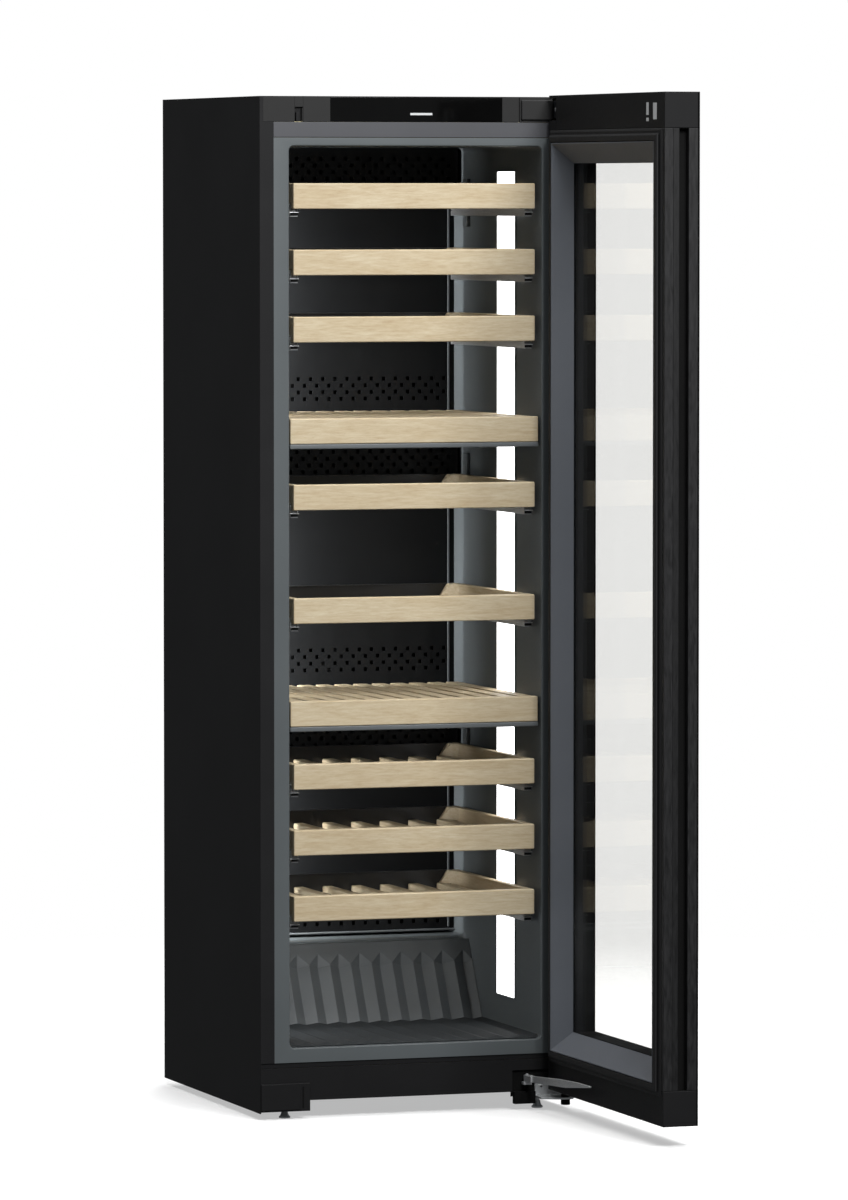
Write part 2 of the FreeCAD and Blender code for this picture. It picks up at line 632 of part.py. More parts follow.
def cabinet_rail(number):
    """A fixed channel with two tabs that hang it on the liner's wall."""
    low = f"{runner_seat(number)} - rail_drop"
    channel = cut(
        box(rail_span(), ("rail_front", "drawer_back"), (low, f"{low} + rail_tall")),
        box(rail_span("rail_wall"), ("rail_front", "drawer_back"),
            (f"{low} + rail_wall", f"{low} + rail_tall")))
    tabs = [box(("rail_mid + rail_wide / 2", "open_half"), (start, f"{start} + wall_tab"),
                (low, f"{low} + rail_tall")) for start in ("tab_front", "tab_back")]
    rail = join(channel, *tabs)
    return [rail, mirrored(rail)]


def divider_board(number):
    """A fixed wooden shelf: front board, side battens and slats."""
    top = f"open_bottom + divider_level_{number} * open_tall"
    back_of_front = "shelf_front + front_thick"
    batten = box(("divider_half - side_thick", "divider_half"), (back_of_front, "divider_back"),
                 (f"{top} - board_tall", f"{top} - board_slat_thick"))
    solids = [front_board("divider_half", top), batten, mirrored(batten)]
    for middle in places("board_slat"):
        solids.append(box((f"{middle} - board_slat_wide / 2", f"{middle} + board_slat_wide / 2"),
                          (back_of_front, "divider_back"), (f"{top} - board_slat_thick", top)))
    return solids


def divider_sheet(number):
    """The steel plate that parts two zones, under its wooden shelf."""
    top = f"open_bottom + divider_level_{number} * open_tall - board_tall"
    side = "open_half - light_thick - plate_side_gap"
    return box((f"-({side})", side), ("shelf_front", "cover_front - 1"), (f"{top} - divider_plate", top))


# --- door -------------------------------------------------------------------------------------------------
def door_core():
    """The door's body between its caps: window, rebate for the inner pane, and a grip groove down one edge."""
    low, high = "door_bottom + cap_tall", "door_top - cap_tall"
    section = [("0", "0"), ("width", "0"), ("width", "groove_near"), ("width - groove_deep", "groove_near"),
               ("width - groove_deep", "groove_far"), ("width", "groove_far"), ("width", "door_core"),
               ("0", "door_core")]
    made = profile("XY_Plane", section, f"{high} - ({low})", low)
    window = rectangle(("window_side", "width - window_side"), ("window_low", "window_high"))
    pocket(made, outline(made, "XZ_Plane", [window], "1"), "door_thick")
    rebate = rectangle(("window_side - pane_edge", "width - window_side + pane_edge"),
                       ("window_low - pane_edge", "window_high + pane_edge"))
    pocket(made, outline(made, "XZ_Plane", [rebate]), "pane_inset + pane_back")
    return made


def door_caps():
    """The upper cap, cut out for the hinge arm, and the lower cap; each is bored for its pin."""
    depth = ("0", "door_core")
    upper = cut(
        box(("0", "width"), depth, ("door_top - cap_tall", "door_top")),
        box(("-1", "pocket_wide"), ("-1", "pocket_deep"), ("pocket_low", "pocket_high")),
        cylinder("z", ("hinge_in", "hinge_out", "door_top - cap_tall - 1"), "pin_radius + running_gap",
                 "pin_hole_deep"))
    lower = cut(
        box(("0", "width"), depth, ("door_bottom", "door_bottom + cap_tall")),
        cylinder("z", ("hinge_in", "hinge_out", "door_bottom - 1"), "pin_radius + running_gap",
                 "pin_hole_deep + 1"))
    return group(upper, lower)


def inner_frame():
    """The picture frame round the inner pane: a ring whose faces slant in from its ridge to the glass."""
    made = body()
    ridge = rectangle(("ridge_side", "width - ridge_side"), ("ridge_low", "ridge_high"))
    pad(made, outline(made, "XZ_Plane", [ridge], "ridge_proud"), "ridge_proud", reverse=True)
    rebate = rectangle(("window_side - pane_edge", "width - window_side + pane_edge"),
                       ("window_low - pane_edge", "window_high + pane_edge"))
    pad(made, outline(made, "XZ_Plane", [rebate]), "pane_inset", reverse=True)
    slope = doc.addObject("Part::Wedge", "Slope")
    bind(slope, Xmin="ridge_side + 1", Xmax="width - ridge_side - 1", Zmin="ridge_low + 1",
         Zmax="ridge_high - 1", X2min="window_side", X2max="width - window_side", Z2min="window_low",
         Z2max="window_high", Ymin="-ridge_proud", Ymax="pane_inset")
    return cut(made, slope)


def door_gasket():
    """The magnetic seal: a wide base on the door and a raised lip that meets the cabinet's flange."""
    made = body()
    hole = rectangle(("ridge_side", "width - ridge_side"), ("ridge_low", "ridge_high"))
    base = rectangle(("ridge_side - gasket_wide", "width - ridge_side + gasket_wide"),
                     ("ridge_low - gasket_wide", "ridge_high + gasket_wide"))
    pad(made, outline(made, "XZ_Plane", [base, hole]), "gasket_base")
    inside = "gasket_wide - gasket_lip"
    lip = rectangle((f"ridge_side - ({inside})", f"width - ridge_side + {inside}"),
                    (f"ridge_low - ({inside})", f"ridge_high + {inside}"))
    pad(made, outline(made, "XZ_Plane", [lip, hole]), "gasket_tall")
    return made


# --- hinges, closer, feet and rollers ---------------------------------------------------------------------
def upper_hinge():
    """An arm from the cabinet's head, rounded about the door's axis, with a pin that points down."""
    arm = box(("hinge_x - arm_half", "hinge_x + arm_half"), ("hinge_y", "fascia_deep"), ("arm_low", "arm_high"))
    nose = cylinder("z", ("hinge_x", "hinge_y", "arm_low"), "arm_half", "arm_high - arm_low")
    pin = cylinder("z", ("hinge_x", "hinge_y", "arm_low - pin_depth"), "pin_radius", "pin_depth + 1")
    return join(arm, nose, pin)


def hinge_cover():
    """The moulded cover beside the hinge arm, with a raised face."""
    right = "hinge_x - arm_half - hinge_cover_gap"
    flat = box(("hinge_plate_left - fascia_side_gap + hinge_cover_gap", right), ("0", "fascia_deep"),
               ("fascia_bottom", "case_top"))
    raised = box(("hinge_plate_left - hinge_cover_margin", right), ("-hinge_cover_proud", "0"),
                 ("fascia_bottom + hinge_cover_margin", "case_top - hinge_cover_margin"))
    face = -float(sheet.get("hinge_cover_proud"))
    return join(flat, rounded(raised, "edge_round", lambda a, b: max(a.y, b.y) < face + 0.1))


def lower_hinge():
    """A foot plate and back plate on the chassis, the door's pin, its bearing, and the closer's post."""
    top = "foot_plate_low + foot_plate_thick"
    plate = box(("hinge_x - foot_plate_side", "inner_half"), ("hinge_y - foot_plate_front", "chassis_front"),
                ("foot_plate_low", top))
    back = box(("hinge_plate_left - back_plate_more", "inner_half"),
               ("chassis_front - plate_thick", "chassis_front"), ("foot_plate_low", "closer_low + back_plate_rise"))
    pin = cylinder("z", ("hinge_x", "hinge_y", "foot_plate_low"), "pin_radius", "lower_pin_tall")
    bearing = cylinder("z", ("hinge_x", "hinge_y", "foot_plate_low - bearing_tall"), "bearing_radius",
                       "bearing_tall")
    tab = box(("closer_x - closer_tab_half", "closer_x + closer_tab_half"),
              ("closer_y - closer_hub", "chassis_front - plate_thick"),
              ("closer_low - 1 - closer_tab_thick", "closer_low - 1"))
    post = cylinder("z", ("closer_x", "closer_y", "closer_low - 2"), "closer_pin", "closer_tall + 4")
    return join(plate, back, pin, bearing, tab, post)


def closer_arm():
    """The lever that steadies the door while it closes: an eye on its post, and a rising, tapered blade."""
    blade = [("0", "0"), ("closer_long", "closer_rise - closer_tip"), ("closer_long", "closer_rise"),
             ("0", "closer_tall")]
    lever = profile("XZ_Plane", blade, "closer_thick", both=True)
    eye = cylinder("z", ("0", "0", "0"), "closer_hub", "closer_tall")
    hole = cylinder("z", ("0", "0", "-1"), "closer_pin + running_gap", "closer_tall + 2")
    return cut(join(lever, eye), hole)


def front_foot(side):
    """A screw foot: disc, cone and stem."""
    x = f"{side}foot_x"
    disc = cylinder("z", (x, "foot_y", "0"), "foot_radius", "foot_disc")
    neck = cone((x, "foot_y", "foot_disc"), "foot_radius - 2", "stem_radius + neck_flare", "neck_tall")
    stem = cylinder("z", (x, "foot_y", "0"), "stem_radius", "stem_top")
    return join(disc, neck, stem)


def rear_roller(side):
    """A transport roller, bored to run on its axle."""
    left = f"{side}roller_x - roller_wide / 2"
    tyre = cylinder("x", (left, "roller_y", "roller_radius"), "roller_radius", "roller_wide")
    bore = cylinder("x", (f"{left} - 1", "roller_y", "roller_radius"), "axle_radius + running_gap",
                    "roller_wide + 2")
    return cut(tyre, bore)


# --- cooling unit -----------------------------------------------------------------------------------------
def cooling_unit():
    """Compressor and finned condenser on the chassis, and the evaporator behind the duct panel."""
    floor = "chassis_bottom + skin"
    pot = cylinder("z", ("pot_x", "pot_y", "pot_low"), "pot_radius", "pot_high - pot_low")
    feet = box(("pot_x - pot_radius", "pot_x + pot_radius"), ("pot_y - pot_foot_half", "pot_y + pot_foot_half"),
               (floor, "pot_low"))
    left = "coil_right - coil_wide"
    tank = box((left, "coil_right"), ("coil_front", "coil_front + coil_plate"), (floor, "coil_high"))
    fins = []
    for k in range(int(sheet.get("fin_count"))):
        fin = f"{left} + fin_margin + {k} * fin_pitch"
        fins.append(box((fin, f"{fin} + fin_thick"), ("coil_front", "coil_front + coil_deep"),
                        ("coil_low", "coil_high")))
    plate = box(("-evaporator_half", "evaporator_half"), ("liner_deep - evaporator_thick", "liner_deep"),
                ("evaporator_high - evaporator_tall", "evaporator_high"))
    return group(join(pot, feet), join(tank, *fins), plate)


node("outer_case", outer_case())
node("chassis", chassis())
node("rear_panel", rear_panel())
node("insulation", insulation())
node("liner", liner())
node("upper_strip", box(("-half + flange_wide", "half - flange_wide"), ("0", "plate_thick"),
                        ("strip_bottom", "fascia_bottom")))
node("fascia", fascia())
node("fascia_glass", box(("gloss_left - half", "gloss_right - half"), ("0", "gloss_thick"),
                         ("fascia_bottom", "case_top")))
node("plinth", plinth())
node("foot_cover", foot_cover())
node("duct_panel", duct_panel())
node("fan_covers", group(*[fan_cover(z) for z in range(ZONES)]))
for zone, place in enumerate(("upper", "middle", "lower")):
    node(f"fan_{place}", fan_rotor(zone))
strip = light_strip()
node("light_strips", group(strip, mirrored(strip)))
node("sensor_housings", group(*[sensor(z) for z in range(ZONES)]))
node("bottle_rest", bottle_rest())
node("cooling_unit", cooling_unit())

rails = []
for number in range(1, DRAWERS + 1):
    node(f"drawer_{number}_wood", drawer_wood(number))
    node(f"drawer_{number}_carrier", drawer_carrier(number))
    node(f"drawer_{number}_runner", runner_bar(number))
    rails += cabinet_rail(number)
node("cabinet_rails", group(*rails))
node("divider_boards", group(*divider_board(1), *divider_board(2)))
node("divider_plates", group(divider_sheet(1), divider_sheet(2)))

door_node("door_core", door_core())
door_node("door_caps", door_caps())
door_node("door_front_glass", box(("0", "width"), ("door_core", "door_thick"), ("door_bottom", "door_top")))
door_node("door_inner_glass", box(
    ("window_side - pane_edge", "width - window_side + pane_edge"), ("pane_inset", "pane_inset + pane_back"),
    ("window_low - pane_edge", "window_high + pane_edge")))
door_node("door_inner_frame", inner_frame())
door_node("door_gasket", door_gasket())

node("upper_hinge", upper_hinge())
node("hinge_cover", hinge_cover())
node("lower_hinge", lower_hinge())
closer = closer_arm()
node("closer_arm", closer)
closer.Placement = FreeCAD.Placement(
    closer.Placement.Base, FreeCAD.Rotation(FreeCAD.Vector(0, 0, 1), float(sheet.get("closer_angle"))))
at(closer, "closer_x - shift_x", "closer_y - shift_y", "closer_low")
for side, place in (("-", "left"), ("", "right")):
    node(f"front_foot_{place}", front_foot(side))
    node(f"rear_roller_{place}", rear_roller(side))

# --- check every object, then write one file for each node ------------------------------------------------
doc.recompute()
failed = [f"{o.Name} ({o.Label}) {o.State}" for o in doc.Objects
          if any(word in ("Invalid", "Error") for word in o.State)]
for label, thing in NODES.items():
    if thing.Shape.isNull() or not thing.Shape.isValid():
        failed.append(f"{label}: bad shape")
if failed:
    raise ValueError("; ".join(failed))
if len(NODES) > 60:
    raise ValueError(f"{len(NODES)} nodes")

os.makedirs("parts", exist_ok=True)
for label, thing in NODES.items():
    thing.Shape.exportStep(os.path.join("parts", label + ".step"))
    span = thing.Shape.BoundBox
    print(f"{label}: {len(thing.Shape.Solids)} solids, {thing.Shape.Volume / 1000:.0f} cm3,",
          f"x {span.XMin:.1f}..{span.XMax:.1f}, y {span.YMin:.1f}..{span.YMax:.1f},",
          f"z {span.ZMin:.1f}..{span.ZMax:.1f}")
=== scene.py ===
# %% [markdown]
# # A tall wine cooler with its glass door open
# The CAD frame gives every piece's true place and size. This lesson adds what the eye expects of
# the real object: folded steel with soft edges, beech boards with grain, a lit interior, glass and
# a moulded seal. Each step says what the piece is, how it could be made, and why this way was
# chosen.

# %% Load the frame
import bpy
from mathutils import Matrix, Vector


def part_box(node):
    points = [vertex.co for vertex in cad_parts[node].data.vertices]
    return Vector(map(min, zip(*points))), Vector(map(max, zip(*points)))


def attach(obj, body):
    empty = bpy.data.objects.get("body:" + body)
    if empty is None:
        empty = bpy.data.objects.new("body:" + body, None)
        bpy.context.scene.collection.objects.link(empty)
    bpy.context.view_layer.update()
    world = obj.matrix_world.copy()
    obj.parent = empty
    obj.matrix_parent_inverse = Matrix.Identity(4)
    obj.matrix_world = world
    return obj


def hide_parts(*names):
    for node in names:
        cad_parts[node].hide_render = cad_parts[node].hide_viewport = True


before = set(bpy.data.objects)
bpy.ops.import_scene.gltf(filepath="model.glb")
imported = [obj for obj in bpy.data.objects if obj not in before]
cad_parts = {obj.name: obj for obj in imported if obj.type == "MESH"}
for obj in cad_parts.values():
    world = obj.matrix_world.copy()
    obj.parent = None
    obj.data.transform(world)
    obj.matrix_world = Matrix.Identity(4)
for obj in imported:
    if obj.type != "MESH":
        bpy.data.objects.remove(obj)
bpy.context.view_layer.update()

# %% [markdown]
# ## Working in millimetres
# Appliance drawings are in millimetres, so the pieces are drawn that way and shrunk to metres at
# the end. A CAD piece's box gives the spans that a new piece has to fill.

# %% Tools and spans
import random
from math import pi, radians, tau

import bmesh
import bpy
from mathutils import Matrix, Vector

MM = 0.001
WELD = 0.001      # spots nearer than this, in millimetres, become one
SAME = 0.01       # spots nearer than this lie on one line or plane


def spans(node):
    """A CAD piece's (low, high) along x, y and z, in millimetres."""
    low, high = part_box(node)
    return [(a / MM, b / MM) for a, b in zip(low, high)]


CASE_X, CASE_Y, CASE_Z = spans("outer_case")
FRONT = CASE_Y[0]
MIDDLE = sum(CASE_X) / 2
OPEN_X = spans("light_strips")[0]
OPEN_Z = (spans("bottle_rest")[2][0], spans("duct_panel")[2][1])
print("cabinet", [round(b - a, 1) for a, b in (CASE_X, CASE_Y, CASE_Z)], "opening", OPEN_X, OPEN_Z)

# %% [markdown]
# ## Solid helpers
# Nearly everything on an appliance is a block, a bent section, a turned part or a sheet with holes.
# Each helper starts from one bmesh operator and eases the edges, because a real edge always catches
# a thin line of light.

# %% Blocks and prisms
AXES = {
    "x": lambda a, b, c: Vector((c, a, b)),
    "y": lambda a, b, c: Vector((a, c, b)),
    "z": lambda a, b, c: Vector((a, b, c)),
}


def edges_of(verts):
    return list(dict.fromkeys(e for v in verts for e in v.link_edges))


def faces_of(verts):
    return list(dict.fromkeys(f for v in verts for f in v.link_faces))


def verts_in(geom):
    return [g for g in geom if isinstance(g, bmesh.types.BMVert)]


def edges_in(geom):
    return [g for g in geom if isinstance(g, bmesh.types.BMEdge)]


def soften(bm, edges, width, steps=2):
    """Round some edges over."""
    return bmesh.ops.bevel(bm, geom=edges, offset=width, segments=steps, profile=0.5, affect="EDGES",
                           material=-1, clamp_overlap=True)


def block(bm, x, y, z, ease=0.8, steps=2, paint=0):
    """A block that fills three spans, its edges eased."""
    verts = bmesh.ops.create_cube(bm, size=1.0)["verts"]
    bmesh.ops.scale(bm, vec=(x[1] - x[0], y[1] - y[0], z[1] - z[0]), verts=verts)
    bmesh.ops.translate(bm, vec=(sum(x) / 2, sum(y) / 2, sum(z) / 2), verts=verts)
    faces = faces_of(verts)
    for face in faces:
        face.material_index = paint
    if ease:
        made = soften(bm, edges_of(verts), ease, steps)
        faces = [f for f in faces if f.is_valid] + made["faces"]
    return faces


def prism(bm, outline, span, axis="z", ease=0.0, steps=2, paint=0, ends=False):
    """Push a flat outline along one axis. Its long edges are eased, and its end edges too if asked."""
    place = AXES[axis]
    start = bm.faces.new([bm.verts.new(place(a, b, span[0])) for a, b in outline])
    grown = bmesh.ops.extrude_face_region(bm, geom=[start])["geom"]
    far = verts_in(grown)
    bmesh.ops.translate(bm, vec=place(0, 0, span[1] - span[0]), verts=far)
    verts = list(start.verts) + far
    faces = faces_of(verts)
    bmesh.ops.recalc_face_normals(bm, faces=faces)
    for face in faces:
        face.material_index = paint
    if ease:
        way = place(0, 0, 1)
        edges = [e for e in edges_of(verts)
                 if ends or abs((e.verts[0].co - e.verts[1].co).normalized().dot(way)) > 0.99]
        made = soften(bm, edges, ease, steps)
        faces = [f for f in faces if f.is_valid] + made["faces"]
    return faces


# %% Rods and turned parts
TURN = {"x": Matrix.Rotation(pi / 2, 4, "Y"), "y": Matrix.Rotation(-pi / 2, 4, "X"), "z": Matrix.Identity(4)}


def rod(bm, centre, radius, span, axis="z", sides=32, ease=0.5, paint=0):
    """A round bar along one axis."""
    middle = AXES[axis](*centre, sum(span) / 2)
    verts = bmesh.ops.create_cone(bm, cap_ends=True, segments=sides, radius1=radius, radius2=radius,
                                  depth=span[1] - span[0],
                                  matrix=Matrix.Translation(middle) @ TURN[axis])["verts"]
    for face in faces_of(verts):
        face.material_index = paint
    if ease:
        rims = [e for e in edges_of(verts)
                if len(e.link_faces) == 2 and any(len(f.verts) > 4 for f in e.link_faces)]
        soften(bm, rims, ease)


def lathe(bm, shape, centre, axis="z", steps=36):
    """Turn an outline of (radius, height) pairs about an axis."""
    place = AXES[axis]
    verts = [bm.verts.new(place(centre[0] + r, centre[1], h)) for r, h in shape]
    edges = [bm.edges.new(pair) for pair in zip(verts, verts[1:])]
    bmesh.ops.spin(bm, geom=verts + edges, cent=place(*centre, 0), axis=place(0, 0, 1), angle=tau,
                   steps=steps, use_merge=True)
    bmesh.ops.remove_doubles(bm, verts=bm.verts[:], dist=WELD)
    bmesh.ops.recalc_face_normals(bm, faces=bm.faces[:])


def screw(bm, centre, radius, face, out, axis="y", paint=0):
    """A pan-head screw with a cross recess; out is +1 or -1 for the way its head points."""
    top = face + out * radius * 0.55
    rod(bm, centre, radius, (min(face, top), max(face, top)), axis, sides=20, ease=radius * 0.3, paint=paint)
    arm_long, arm_wide = radius * 0.62, radius * 0.16
    depth = sorted((top - out * 0.1, top + out * 0.12))
    for a, b in ((arm_long, arm_wide), (arm_wide, arm_long)):
        low = AXES[axis](centre[0] - a, centre[1] - b, depth[0])
        high = AXES[axis](centre[0] + a, centre[1] + b, depth[1])
        block(bm, *zip(low, high), ease=0, paint=paint + 1)


# %% Sheets with holes, and rings with mitred corners
def sheet(bm, place, a, b, depth, cuts_a, cuts_b, holes, rim):
    """A flat sheet cut into cells, with a hole in each cell that the test picks, then given its thickness."""
    corners = [(a[0], b[0]), (a[1], b[0]), (a[1], b[1]), (a[0], b[1])]
    start = bm.faces.new([bm.verts.new(place(p, q, depth[0])) for p, q in corners])
    geom = [start, *start.edges, *start.verts]
    for cuts, way in ((cuts_a, place(1, 0, 0)), (cuts_b, place(0, 1, 0))):
        for cut in cuts:
            geom = bmesh.ops.bisect_plane(bm, geom=geom, plane_co=place(cut, cut, 0), plane_no=way)["geom"]
    faces = [g for g in geom if isinstance(g, bmesh.types.BMFace)]
    picked = [f for f in faces if holes(f.calc_center_median())]
    bmesh.ops.inset_individual(bm, faces=picked, thickness=rim, use_even_offset=True)
    kept = faces_of([v for f in faces if f.is_valid for v in f.verts])
    bmesh.ops.delete(bm, geom=picked, context="FACES")
    grown = bmesh.ops.extrude_face_region(bm, geom=[f for f in kept if f.is_valid])["geom"]
    bmesh.ops.translate(bm, vec=place(0, 0, depth[1]) - place(0, 0, depth[0]), verts=verts_in(grown))
    faces = faces_of(verts_in(grown))
    faces = list(dict.fromkeys(faces + faces_of([v for f in faces for v in f.verts])))
    bmesh.ops.recalc_face_normals(bm, faces=faces)


def push_chain(bm, verts, edges, spots):
    """Push a chain of edges on to new spots; returns its new verts and edges."""
    made = bmesh.ops.extrude_edge_only(bm, edges=edges)["geom"]
    new = verts_in(made)
    matched = [min(new, key=lambda n: (n.co - v.co).length) for v in verts]
    for vert, spot in zip(matched, spots):
        vert.co = spot
    return matched, [e for e in edges_in(made) if all(v in matched for v in e.verts)]


def ring(bm, place, a, b, section, paint=0):
    """Sweep a section of (outward, depth) pairs round a rectangle, with mitred corners."""
    mid_a, mid_b = sum(a) / 2, sum(b) / 2
    sides = ((-1, -1), (1, -1), (1, 1), (-1, 1))

    def loop_spots(out, depth):
        return [place(mid_a + s * ((a[1] - a[0]) / 2 + out), mid_b + t * ((b[1] - b[0]) / 2 + out), depth)
                for s, t in sides]

    first = [bm.verts.new(spot) for spot in loop_spots(*section[0])]
    loop = [bm.edges.new((first[k], first[(k + 1) % 4])) for k in range(4)]
    verts, every = first, list(first)
    for step in [*section[1:], section[0]]:
        verts, loop = push_chain(bm, verts, loop, loop_spots(*step))
        every += verts
    bmesh.ops.remove_doubles(bm, verts=every, dist=WELD)
    faces = faces_of([v for v in every if v.is_valid])
    bmesh.ops.recalc_face_normals(bm, faces=faces)
    for face in faces:
        face.material_index = paint


# %% [markdown]
# ## Naming a finished piece
# A finished piece gets its paints, smooth shading with creases kept sharp, and a body to ride on.
# Weighted normals keep large flat faces flat where they meet a narrow eased
# edge.

# %% Finish a piece
def finish(name, bm, body, paints, stands_for=(), crease=38, extra=None):
    mesh = bpy.data.meshes.new(name)
    bm.to_mesh(mesh)
    bm.free()
    mesh.transform(Matrix.Scale(MM, 4))
    for paint in paints:
        mesh.materials.append(paint)
    mesh.shade_smooth()
    mesh.set_sharp_from_angle(angle=radians(crease))
    piece = bpy.data.objects.new(name, mesh)
    bpy.context.scene.collection.objects.link(piece)
    if extra:
        extra(piece)
    even = piece.modifiers.new("Even shading", "WEIGHTED_NORMAL")
    even.keep_sharp = True
    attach(piece, body)
    if stands_for:
        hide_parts(*stands_for)
    print(name, len(mesh.polygons), "faces")
    return piece


# %% [markdown]
# ## Finishes
# Every finish is grown from noise in object coordinates, so it holds still on the piece and needs
# no unwrapping. A helper node-maker keeps the recipes short.

# %% Node helpers
def tone(code):
    """A display colour such as 5a5b5f, as the linear light that shaders use."""
    parts = [int(code[k:k + 2], 16) / 255 for k in (0, 2, 4)]
    return tuple(c / 12.92 if c <= 0.04045 else ((c + 0.055) / 1.055) ** 2.4 for c in parts)


def node(tree, kind, settings=None, **sockets):
    made = tree.nodes.new("ShaderNode" + kind)
    for name, value in (settings or {}).items():
        setattr(made, name, value)
    for name, value in sockets.items():
        socket = made.inputs[int(name[1:])] if name[0] == "_" else made.inputs[name.replace("_", " ")]
        if isinstance(value, bpy.types.NodeSocket):
            tree.links.new(value, socket)
        else:
            socket.default_value = value
    return made


def ramp(tree, value, stops):
    made = node(tree, "ValToRGB", Fac=value)
    band = made.color_ramp
    while len(band.elements) < len(stops):
        band.elements.new(0.5)
    for element, (spot, colour) in zip(band.elements, stops):
        element.position = spot
        element.color = (*colour, 1)
    return made.outputs["Color"]


def spread(tree, value, low, high, start=0.3, end=0.7):
    """Stretch a noise value over a span of numbers."""
    return node(tree, "MapRange", Value=value, From_Min=start, From_Max=end,
                To_Min=low, To_Max=high).outputs["Result"]


def blend(tree, mode, share, first, second):
    made = node(tree, "Mix", {"data_type": "RGBA", "blend_type": mode}, _0=share, _6=first, _7=second)
    return made.outputs[2]


def blank(name):
    made = bpy.data.materials.new(name)
    made.use_nodes = True
    return made, made.node_tree, made.node_tree.nodes["Principled BSDF"]


def moulded(name, shades, gloss, grain=700, lift=0.25, cloud=4.0, stretch=(1, 1, 1), metal=0.0, shine=0.5):
    """A finish that drifts between two shades, with a fine grain that lifts it and breaks up its gloss."""
    made, tree, shader = blank(name)
    where = node(tree, "TexCoord").outputs["Object"]
    drawn = node(tree, "Mapping", Vector=where, Scale=stretch).outputs["Vector"]
    drift = node(tree, "TexNoise", Vector=drawn, Scale=cloud, Detail=4.0, Roughness=0.6).outputs[0]
    fine = node(tree, "TexNoise", Vector=drawn, Scale=grain, Detail=3.0, Roughness=0.6).outputs[0]
    colour = ramp(tree, drift, [(0.3, tone(shades[0])), (0.7, tone(shades[1]))])
    tree.links.new(colour, shader.inputs["Base Color"])
    tree.links.new(spread(tree, fine, *gloss), shader.inputs["Roughness"])
    bump = node(tree, "Bump", Strength=lift, Distance=0.0002, Height=fine)
    tree.links.new(bump.outputs["Normal"], shader.inputs["Normal"])
    shader.inputs["Metallic"].default_value = metal
    shader.inputs["Specular IOR Level"].default_value = shine
    return made


# %% [markdown]
# ## Painted steel, moulded plastic and rubber
# The case is powder coated: a fine, even orange peel on near-black paint. The liner is vacuum-
# formed plastic, smoother and dark grey. Trim parts are moulded with a spark-eroded grain, and the
# seal is matt rubber.

# %% Paints and plastics
COAT_BLACK = moulded("satin powder coat", ("19191a", "1f1f20"), (0.5, 0.62), grain=900, lift=0.22, shine=0.12)
ZINC = moulded("zinc plate", ("8d9194", "a7abad"), (0.3, 0.5), grain=120, lift=0.1, cloud=30, metal=0.9)
LINER_GREY = moulded("liner plastic", ("4f5456", "54595b"), (0.42, 0.5), grain=500, lift=0.06, shine=0.3)
STRIP_GREY = moulded("strip paint", ("3f4044", "444549"), (0.4, 0.5), grain=800, lift=0.1, shine=0.4)
BLACK_PLASTIC = moulded("black trim plastic", ("131314", "181819"), (0.5, 0.65), grain=800, lift=0.3,
                        shine=0.15)
DARK_PLASTIC = moulded("dark fascia plastic", ("222222", "272727"), (0.48, 0.6), grain=900, lift=0.3,
                       shine=0.15)
DUCT_BLACK = moulded("duct plastic", ("0e0f10", "131415"), (0.45, 0.55), grain=600, lift=0.12, shine=0.15)
FRAME_GREY = moulded("door frame plastic", ("5c6067", "63676e"), (0.45, 0.55), grain=600, lift=0.08,
                     shine=0.3)
REST_GREY = moulded("bottle rest plastic", ("43474a", "4b4f51"), (0.5, 0.6), grain=400, lift=0.05, shine=0.5)
# The rest's floor wears a darker copy of the rest's plastic: painted shade where little light reaches it.
REST_FLOOR_SHADE = moulded("bottle rest floor, painted shade", ("25282a", "2a2d2f"), (0.6, 0.75), grain=400, lift=0.05, shine=0.2)
DIVIDER_GREY = moulded("divider plastic", ("55595b", "5d6163"), (0.4, 0.5), grain=500, lift=0.06)
RUBBER = moulded("seal rubber", ("131314", "19191a"), (0.6, 0.75), grain=500, lift=0.2, shine=0.3)
TYRE = moulded("hard tyre", ("161617", "1d1d1e"), (0.55, 0.7), grain=700, lift=0.2, shine=0.3)
GLOSS_BLACK = moulded("gloss black", ("060606", "090909"), (0.05, 0.09), grain=30, lift=0.0,
                      cloud=8, shine=0.3)
DARK_STEEL = moulded("dark enamelled steel", ("1c1d1f", "242527"), (0.28, 0.38), grain=500, lift=0.08,
                     shine=0.5)
UNIT_BLACK = moulded("compressor enamel", ("121213", "1b1b1c"), (0.3, 0.5), grain=300, lift=0.2)
# Near-black: the colour of real black parts, and painted shade in slits, sockets, the plinth's notch and
# behind holes.
BLACK_AND_RECESS_SHADE = moulded("black parts and painted recess shade", ("0a0a0a", "0e0e0e"), (0.7, 0.9), grain=600, lift=0.1, shine=0.1)
FOAM = moulded("insulating foam", ("c9bd8e", "ddd3a8"), (0.8, 0.95), grain=300, lift=0.8, cloud=40, shine=0.1)
LABEL = moulded("pale print", ("b9bbbc", "c7c9ca"), (0.4, 0.5), grain=300, lift=0.05)
print("paints and plastics ready")

# %% [markdown]
# ## Bright steel
# Runners and hinge parts are cold-rolled steel with a fine brushed grain along their length.
# Stretching the noise along y gives the streaks; the roughness follows them.

# %% Steel
BRIGHT = moulded("bright zinc steel", ("c4c6c8", "d8dadb"), (0.25, 0.42), grain=260, lift=0.15, cloud=30,
                 stretch=(12, 0.6, 12), metal=0.65)
SCREW = moulded("screw steel", ("b6b8ba", "cccecf"), (0.25, 0.4), grain=500, lift=0.1, cloud=60, metal=0.7)
print("steel ready")

# %% [markdown]
# ## Grained door edge
# The door's edge strips are wrapped in a foil with an upright, mottled grain. Noise squeezed across
# and drawn out along z makes the soft strokes, and a second, finer noise breaks them up.


